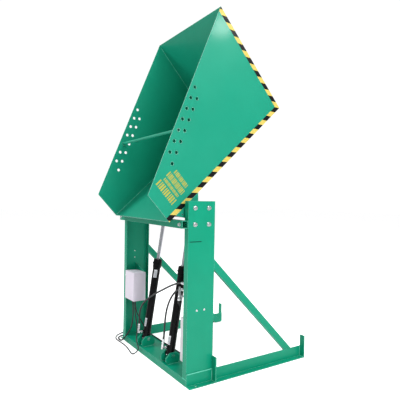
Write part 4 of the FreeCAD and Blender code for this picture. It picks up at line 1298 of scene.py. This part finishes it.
@dataclass
class Hose:
    """One pressure hose with its crimped ends; it runs in a curve between its barrel and the frame.
    """

    side: Side
    turn: float
    port_z: float
    route: list[Point]
    radius: float = 8.5
    port: float = 58.0
    reach: float = 92.0
    rise: float = 40.0
    run: float = 58.0
    fitting_x: float = 470.0
    fitting_y: float = 78.0

    def ends(self) -> tuple[list[Point], list[Point]]:
        """The straight runs at the elbow and at the valve block, in millimetres."""
        port = Matrix.Translation((0, 0, self.port))
        swivel = port @ Matrix.Rotation(math.radians(self.turn), 4, "Y") @ port.inverted()
        place = cylinder_frame(self.side) @ swivel
        low = self.port + self.rise
        first = [place @ Vector((0, -self.reach, low + step)) for step in (0, self.run)]
        y = FRONT + self.fitting_y
        last = [Vector((self.fitting_x - self.run, y, self.port_z)),
                Vector((self.fitting_x, y, self.port_z))]
        return first, last

    def ferrule(self, form: Form, start: Vector, toward: Vector) -> None:
        """Add a crimped ferrule from a hose's end along it."""
        way = (toward - start).normalized()
        profile = [(0.01, -3), (9.6, -3), (9.6, 0), (11.6, 0), (11.6, 5)]
        for i in range(4):
            z = 6 + i * 7.5
            profile += [(10.6, z), (10.6, z + 4.6), (11.4, z + 5.6), (11.4, z + 6.6)]
        profile += [(11.2, 37), (10.2, 38.4), (self.radius - 0.4, 38.4)]
        form.lathe(profile, tuple(start), tuple(way), 40)

    def build(self) -> None:
        """Make the hose and its two ferrules."""
        first, last = self.ends()
        middle = [Vector((x, y + FRONT, z)) for x, y, z in self.route]
        points = [*first, *middle, *last]
        curve = line_through(
            f"pressure_hose_{self.side}", [tuple(p * MM) for p in points], self.radius * 2 * MM
        )
        bpy.context.view_layer.update()
        data = bpy.data.meshes.new_from_object(
            curve.evaluated_get(bpy.context.evaluated_depsgraph_get())
        )
        bpy.data.objects.remove(curve)
        hose = bpy.data.objects.new(f"pressure_hose_{self.side}", data)
        bpy.context.scene.collection.objects.link(hose)
        data.materials.clear()
        data.shade_smooth()
        body = f"barrel_{self.side}"
        data.materials.append(HOSE_COVER.material())
        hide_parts(f"hose_{self.side}")
        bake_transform(hose)
        form = Form()
        self.ferrule(form, first[0], first[1])
        form.finish(f"lower_ferrule_{self.side}", body, ZINC, "zinc")
        form = Form()
        self.ferrule(form, last[1], last[0])
        form.finish(f"upper_ferrule_{self.side}", "frame", ZINC, "zinc")


@dataclass
class ControlBox:
    """Sheet-steel box and lid with rounded folds, hinges, two locks and glands."""

    left: float = -592.0
    width: float = 214.0
    low: float = 470.0
    height: float = 294.0
    front: float = -12.0
    lid: float = 30.0
    depth: float = 108.0
    wall: float = 2.5
    glands: dict[str, Pair] = field(
        default_factory=lambda: {
            "power": (-520.0, 50.0), "pendant": (-472.0, 50.0), "motor": (-560.0, 95.0)
        }
    )

    def tray(
        self, form: Form, low: Point, high: Point, wall: float, open_y: float, corner: float = 5.0
    ) -> None:
        """Add a hollow tray with rounded upright corners and a rounded bottom.

        Args:
            form: The form it joins.
            low: Its lowest corner.
            high: Its highest corner.
            wall: Its sheet's thickness.
            open_y: Y of its open side.
            corner: Radius of its folds.
        """
        closed_y = low[1] if open_y == high[1] else high[1]
        inward = 1 if open_y > closed_y else -1
        loops = []
        for inset, y in (
            (corner, closed_y), (corner * 0.3, closed_y + inward * corner * 0.3),
            (0, closed_y + inward * corner), (0, open_y), (wall, open_y),
            (wall, closed_y + inward * (wall + corner * 0.5)),
            (wall + corner * 0.6, closed_y + inward * wall),
        ):
            loops.append(
                [
                    form.mesh.verts.new(p)
                    for p in self.rounded(
                        low[0] + inset, high[0] - inset, low[2] + inset, high[2] - inset, y,
                        max(corner - inset * 0.6, 1.2),
                    )
                ]
            )
        for a, b in zip(loops, loops[1:]):
            for i in range(len(a)):
                j = (i + 1) % len(a)
                form.mesh.faces.new((a[i], a[j], b[j], b[i]))
        form.mesh.faces.new(loops[0])
        form.mesh.faces.new(loops[-1])

    def rounded(
        self, x0: float, x1: float, z0: float, z1: float, y: float, radius: float
    ) -> list[Point]:
        """Outline of a rectangle with round corners, in a plane across Y."""
        points = []
        for cx, cz, start in (
            (x1 - radius, z1 - radius, 0), (x0 + radius, z1 - radius, 90),
            (x0 + radius, z0 + radius, 180), (x1 - radius, z0 + radius, 270),
        ):
            for step in range(5):
                angle = math.radians(start + step * 22.5)
                points.append(
                    (cx + radius * math.cos(angle), y, cz + radius * math.sin(angle))
                )
        return points

    def build(self) -> None:
        """Make the box, its lid and what is on them."""
        right, top = self.left + self.width, self.low + self.height
        rim = FRONT + self.front + self.lid
        form = Form()
        self.tray(
            form, (self.left + 1, rim + 1.2, self.low + 1), (right - 1, rim + self.depth, top - 1),
            self.wall, rim + 1.2,
        )
        for z in (self.low + 40, top - 80):
            form.rod((right + 5, rim, z), (right + 5, rim, z + 19), 4.2, 0.6, 24)
            form.block((right - 1, rim + 2, z), (right + 6, rim + 14, z + 19), 0.8)
        form.finish("box_shell", "frame", POWDER_COAT, "box_grey", "control_box")
        form = Form()
        face = rim - self.lid
        self.tray(
            form, (self.left, face, self.low), (right, rim - 0.6, top), self.wall, rim - 0.6, 6.0
        )
        for z in (self.low + 40, top - 80):
            form.rod((right + 5, rim, z + 20), (right + 5, rim, z + 40), 4.2, 0.6, 24)
            form.block((right - 1, rim - 14, z + 20), (right + 6, rim - 2, z + 40), 0.8)
        form.finish("box_door", "lid", POWDER_COAT, "box_grey", "control_box_lid")
        form = Form()
        middle = self.low + self.height / 2
        for z in (middle - 88, middle + 88):
            x = self.left + 16
            form.rod((x, face + 0.5, z), (x, face - 2.4, z), 8.5, 0.8, 40)
            form.rod((x, face - 1, z), (x, face - 4, z), 6.2, 0.6, 40)
            form.block((x - 4.6, face - 4.6, z - 0.7), (x + 4.6, face - 3.6, z + 0.7), 0.2)
        form.finish("door_locks", "lid", ZINC, "zinc")
        self.make_glands()

    def make_glands(self) -> None:
        """Make the screwed glands and the tapered sleeves of the leads."""
        form = Form()
        for x, y in self.glands.values():
            place = FRONT + y
            base = self.low
            form.rod((x, place, base + 1), (x, place, base - 7), hexagon_radius(25), 1.2, 6,
                     segments=2)
            form.rod((x, place, base - 7), (x, place, base - 9), 10.2, 0.4, 40)
            form.lathe(
                [
                    (0.01, 0), (11.4, 0), (12.2, 1.2), (12.2, 9), (11.2, 11), (10, 14.5),
                    (8.4, 16.5), (0.01, 16.5),
                ],
                (x, place, base - 8.5), (0, 0, -1), 12,
            )
        form.finish("gland_nuts", "frame", MOULDED_BLACK, "black_plastic", "cable_glands")
        form = Form()
        for name, cable in (("power", 7.0), ("pendant", 5.5)):
            x, y = self.glands[name]
            profile = [(cable + 0.05, 0), (cable + 3.6, 0)]
            for i in range(5):
                z = 4 + i * 7
                thick = cable + 3.6 - i * 0.55
                profile += [(thick, z), (thick - 1.1, z + 1), (thick - 1.1, z + 2.6),
                            (thick - 0.3, z + 3.6)]
            profile += [(cable + 0.7, 42), (cable + 0.05, 42)]
            form.lathe(profile, (x, FRONT + y, self.low - 24.5), (0, 0, -1), 32)
        form.finish("strain_reliefs", "frame", MOULDED_BLACK, "black_plastic")


@dataclass
class PowerUnit:
    """Motor, tank, valves and their fittings on the right post's bracket."""

    x: float = 560.0
    y: float = 172.0
    manifold: float = 582.0
    motor_low: float = 640.0
    motor_rise: float = 220.0
    valve: tuple[Point, Point] = ((520.0, 56.0, 640.0), (590.0, 100.0, 850.0))
    hose_ports: Pair = HOSE_PORTS
    hose_y: float = 78.0
    valve_z: float = 700.0
    motor_bolt_ring: float = 50.0
    knob: Point = (472.0, 36.0, 668.0)
    tank: tuple[Point, Point] = ((446.0, 58.0, 135.0), (636.0, 236.0, 522.0))

    def motor(self) -> None:
        """Make the motor with its end bells, terminal box and bolts."""
        x, y, low = self.x, self.y + FRONT, self.motor_low
        top = low + self.motor_rise
        form = Form()
        form.lathe(
            [
                (0.01, 0), (65, 0), (66, 1), (66, 11), (65, 12), (60, 13), (60, 158),
                (62.5, 160), (64, 163), (64, 205), (61, 213), (54, 218), (40, 220), (0.01, 220),
            ],
            (x, y, low), (0, 0, 1), 72,
        )
        form.block((x - 25, y + 52, 700), (x + 25, y + 84, 770), 4, 3)
        form.block((x - 27, y + 80, 698), (x + 27, y + 84, 772), 2, 2)
        form.finish("motor_shell", "frame", BLACK_ENAMEL, "black_paint", "pump_motor")
        form = Form()
        for angle in (45, 135, 225, 315):
            turn = math.radians(angle)
            ring = self.motor_bolt_ring
            place = (x + ring * math.cos(turn), y + ring * math.sin(turn), top - 8)
            form.rod(place, mixed(place, Vector((0, 0, 1)), 9), hexagon_radius(10), 0.8, 6)
        form.finish("motor_bolts", "frame", ZINC, "zinc")

    def valves(self) -> None:
        """Make the valve block, its plugs, the coil, the hose ends and the lowering valve."""
        low, high = self.valve
        form = Form()
        form.block(
            (low[0], low[1] + FRONT, low[2]), (high[0], high[1] + FRONT, high[2]), 1.5, 2
        )
        form.finish("valve_body", "frame", MILLED_ALLOY, "alloy", "valve_block")
        form = Form()
        for z in (672, 706, 778):
            place = (low[0] + 24, low[1] + FRONT, z)
            form.rod(place, mixed(place, Vector((0, -1, 0)), 2), 11, 0.4, 40)
            form.rod(place, mixed(place, Vector((0, -1, 0)), 9), hexagon_radius(19), 1.2, 6)
        for z in self.hose_ports:
            face, y = low[0], self.hose_y + FRONT
            for near, far, radius, chamfer, sides in (
                (0, 3, 12.5, 0.6, 40), (3, 17, hexagon_radius(22), 1.4, 6),
                (17, 34, 9.4, 0.6, 40), (30, 50, hexagon_radius(20), 1.2, 6),
            ):
                form.rod(
                    (face - near, y, z), (face - far, y, z), radius, chamfer, sides,
                    segments=3 if sides == 6 else 1,
                )
        form.finish("port_fittings", "frame", ZINC, "zinc", "hose_fittings")
        form = Form()
        x, y = (low[0] + high[0]) / 2, (low[1] + high[1]) / 2 + FRONT
        top = high[2]
        form.lathe(
            [(0.01, 0), (18, 0), (19, 1), (19, 44), (17.5, 46), (0.01, 46)], (x, y, top),
            (0, 0, 1), 48,
        )
        form.block((x - 14, y + 14, top + 8), (x + 14, y + 24, top + 36), 2, 3)
        form.rod((x, y, top + 46), (x, y, top + 55), hexagon_radius(20), 1.4, 6, segments=2)
        form.finish("coil_body", "frame", MOULDED_BLACK, "black_plastic", "solenoid_coil")
        kx, ky, kz = self.knob
        ky += FRONT
        form = Form()
        form.lathe(
            [
                (0.01, 0), (17, 0), (18, 1.2), (18, 14), (16, 17), (15.5, 34), (13, 37),
                (12.6, 60), (11.4, 63), (11, 88), (9, 92), (8.6, 116), (7.6, 118), (0.01, 118),
            ],
            (kx, ky, kz), (0, 0, 1), 56,
        )
        port_y, z = self.hose_y + FRONT, self.valve_z
        form.rod((kx, ky, z), (kx, port_y, z), 8, 0.5, 32)
        form.rod((kx - 8, port_y, z), (low[0], port_y, z), 8, 0.5, 32)
        form.rod(
            (low[0] - 14, port_y, z), (low[0], port_y, z), hexagon_radius(19), 1.2, 6, segments=2
        )
        form.finish("lowering_valve_body", "frame", ZINC, "zinc", "lowering_valve")
        form = Form()
        profile = [(0.01, -52), (3, -52), (3.6, -51), (6.5, -40), (8, -27), (14, -26), (16.4, -23)]
        for i in range(5):
            z = -21 + i * 4
            profile += [(16.4, z), (15.6, z + 0.8), (15.6, z + 1.8), (16.4, z + 2.6)]
        profile += [(16.4, -1.6), (15, -0.2), (0.01, -0.2)]
        form.lathe(profile, (kx, ky, kz), (0, 0, 1), 56)
        form.finish("knurled_knob", "knob", MOULDED_BLACK, "black_plastic", "lowering_knob")

    def reservoir(self) -> None:
        """Make the blow-moulded tank with its flanged neck and filler cap."""
        low, high = self.tank
        form = Form()
        form.block(
            (low[0], low[1] + FRONT, low[2]), (high[0], high[1] + FRONT, high[2]), 16, 5
        )
        x, y = self.x, self.y + FRONT
        form.lathe(
            [(0.01, -8), (56, -8), (56, 0), (50, 4), (50, 44), (53, 46), (53, 51), (0.01, 51)],
            (x, y, high[2]), (0, 0, 1), 64,
        )
        form.finish("oil_tank", "frame", MILKY_POLYMER, "tank_white", "reservoir")
        form = Form()
        cap = (low[0] + 34, low[1] + 40 + FRONT, high[2])
        form.lathe(
            [(0.01, -2), (15, -2), (15, 4), (19, 5), (19, 20), (17, 23), (0.01, 23)], cap,
            (0, 0, 1), 24,
        )
        form.finish("filler_cap", "frame", MOULDED_BLACK, "black_plastic")

    def build(self) -> None:
        """Make the whole power unit."""
        self.motor()
        self.valves()
        self.reservoir()


@dataclass
class HandControl:
    """Hand control with its sleeve and collars, and the plug of the supply lead."""

    middle: float = -870.0
    start: float = 150.0
    length: float = 150.0
    height: float = 38.0
    buttons: Pair = (60.0, 105.0)
    cap_z: float = 32.0
    lead_z: float = 17.0
    lead_way: Point = (12.0, -52.0, -10.5)
    lead_radius: float = 5.5
    supply_way: Point = (-2.0, -120.0, -8.8)
    supply_radius: float = 7.0
    plug: Point = (-770.0, 850.0, 17.0)

    def build(self) -> None:
        """Make the grip, its buttons, their collars and the sleeve."""
        x, y = self.middle, FRONT + self.start
        form = Form()
        form.block((x - 28, y, 0.2), (x + 28, y + self.length, self.height - 3), 7, 4)
        form.block((x - 22, y + 34, 20), (x + 22, y + 132, self.height), 3, 3)
        for i in range(6):
            form.block((x - 28.6, y + 30 + i * 16, 8), (x + 28.6, y + 36 + i * 16, 26), 0.7, 1)
        form.finish(
            "control_grip", "frame", MOULDED_BLACK, "black_plastic", "pendant_housing"
        )
        form = Form()
        for offset in self.buttons:
            form.lathe(
                [(10.6, 0), (14.5, 0), (14.5, 2.2), (13.4, 3.4), (11.4, 3.6), (10.6, 2.6),
                 (10.6, 0)],
                (x, y + offset, self.height - 0.5), (0, 0, 1), 40,
            )
        form.finish("button_collars", "frame", ZINC, "zinc")
        for body, offset, finish, slot in (
            ("raise", self.buttons[0], GREEN_CAP, "button_green"),
            ("lower", self.buttons[1], RED_CAP, "button_red"),
        ):
            form = Form()
            form.lathe(
                [(0.01, 0), (10, 0), (10, 8.6), (9.4, 10.6), (7, 11.6), (3.6, 11.2),
                 (0.01, 10.9)],
                (x, y + offset, self.cap_z), (0, 0, 1), 40,
            )
            form.finish(f"{body}_cap", body, finish, slot, f"button_{body}")
        form = Form()
        self.sleeve(form, (x, y, self.lead_z), self.lead_way, self.lead_radius, 34)
        form.finish("grip_sleeve", "frame", MOULDED_BLACK, "black_plastic")

    def mains_plug(self) -> list[bpy.types.Object]:
        """Make the plug at the end of the supply lead.

        Returns:
            Its body and its pins.
        """
        px, py, pz = self.plug
        py += FRONT
        form = Form()
        form.rod((px, py, pz), (px, py + 30, pz), 16.5, 2.5, 40, segments=3)
        form.rod((px, py + 26, pz), (px, py + 46, pz), 16.9, 1.6, 40, segments=3)
        self.sleeve(form, (px, py + 1, pz - 1), self.supply_way, self.supply_radius, 42)
        body = form.finish("plug_body", "frame", MOULDED_BLACK, "black_plastic", "power_plug")
        form = Form()
        for dx, dz in ((-7, -5), (7, -5), (0, 7)):
            form.rod((px + dx, py + 45, pz + dz), (px + dx, py + 65, pz + dz), 2.4, 0.8, 24)
        return [body, form.finish("plug_pins", "frame", ZINC, "zinc")]

    def sleeve(
        self, form: Form, place: Point, way: Point, cable: float, length: float
    ) -> None:
        """Add a tapered, ribbed sleeve on a lead where it enters something.

        Args:
            form: The form it joins.
            place: Where the lead enters.
            way: Direction of the lead there, away from the thing.
            cable: The lead's radius.
            length: The sleeve's length.
        """
        profile = [(cable + 0.05, 0), (cable + 4, 0)]
        for i in range(4):
            z = length * (0.1 + 0.2 * i)
            thick = cable + 3.8 - 0.7 * i
            profile += [(thick, z), (thick - 1, z + 1), (thick - 1, z + 3), (thick - 0.4, z + 4)]
        profile += [(cable + 0.8, length), (cable + 0.05, length), (cable + 0.05, 0)]
        form.lathe(profile, place, way, 32)


@dataclass
class Bearings:
    """Cast flange bearings inside the posts, with their locking collars."""

    face: float = 647.0
    half: float = 88.0
    flange: float = 22.0
    hub: float = 61.0
    hub_depth: float = 40.0
    corner: float = 20.0

    def build(self) -> None:
        """Make both housings and what is on them."""
        for side in Side:
            sign = side.sign
            form = Form()
            inner = (self.face - self.flange) * sign
            outline = []
            for a, b in ((1, 1), (-1, 1), (-1, -1), (1, -1)):
                for step in range(5):
                    turn = math.radians(step * 22.5)
                    dy, dz = math.cos(turn), math.sin(turn)
                    if a * b < 0:
                        dy, dz = dz, dy
                    outline.append(
                        (
                            self.face * sign,
                            PIVOT.y + a * (self.half - self.corner + self.corner * dy),
                            PIVOT.z + b * (self.half - self.corner + self.corner * dz),
                        )
                    )
            form.slab(outline, (inner - self.face * sign, 0, 0), 2.5)
            form.lathe(
                [
                    (50, 0), (72, 0), (68, 4), (self.hub, 12), (self.hub, 16), (58, 18),
                    (51, 18), (50, 17), (50, 0),
                ],
                (inner, PIVOT.y, PIVOT.z), (-sign, 0, 0), 72,
            )
            form.finish(
                f"bearing_body_{side}", "frame", ENAMEL, "bearing_cast",
                f"bearing_housing_{side}",
            )
            form = Form()
            front = (self.face - self.hub_depth) * sign
            form.lathe(
                [(27.6, -36), (49.9, -36), (49.9, -1), (47, 0.6), (41, 1), (40, 4), (40, 13),
                 (38.6, 14.4), (29, 14.4), (27.6, 13), (27.6, -36)],
                (front, PIVOT.y, PIVOT.z), (-sign, 0, 0), 72,
            )
            form.finish(f"bearing_collar_{side}", "frame", TURNED_STEEL, "bearing_steel")


@dataclass
class Guide:
    """Wire guide on the outside of the right post."""

    half_width: float = 654.0
    z: float = 1188.0
    ends: Pair = (14.0, 130.0)
    wire: float = 2.2

    def build(self) -> None:
        """Make the wire, which lies against the web."""
        form = Form()
        x = self.half_width + self.wire
        first, last = (FRONT + y for y in self.ends)
        form.rod((x, first, self.z), (x, last, self.z), self.wire, 0.6, 16)
        form.finish("welded_wire", "frame", BLACK_ENAMEL, "black_paint")


# The hoses between their straight ends; Y is measured from the posts' front.
HOSE_ROUTES: dict[Side, list[Point]] = {
    Side.LEFT: [
        (-281, 16, 376), (-272, 22, 424), (-240, 27, 472), (-190, 32, 516), (-126, 38, 558),
        (-50, 44, 602), (36, 50, 646), (126, 57, 688), (212, 64, 730), (300, 71, 768),
    ],
    Side.RIGHT: [
        (248, 17, 400), (247, 25, 480), (256, 35, 556), (278, 47, 624), (314, 59, 682),
        (356, 70, 724),
    ],
}


def main() -> None:
    """Build every part of the picture in order."""
    logging.basicConfig(level=logging.INFO, format="%(name)s: %(message)s")
    View().build()
    dress_nodes()
    parts = (
        Cords(), Markings(), Fasteners(), Welds(), Cylinder(Side.LEFT), Cylinder(Side.RIGHT),
        Hose(Side.LEFT, turn=-14.0, port_z=HOSE_PORTS[0], route=HOSE_ROUTES[Side.LEFT]),
        Hose(Side.RIGHT, turn=0.0, port_z=HOSE_PORTS[1], route=HOSE_ROUTES[Side.RIGHT]),
        ControlBox(), PowerUnit(), HandControl(), Bearings(), Guide(),
    )
    for part in parts:
        part.build()
        LOG.info("%s built", type(part).__name__)


if __name__ == "__main__":
    main()
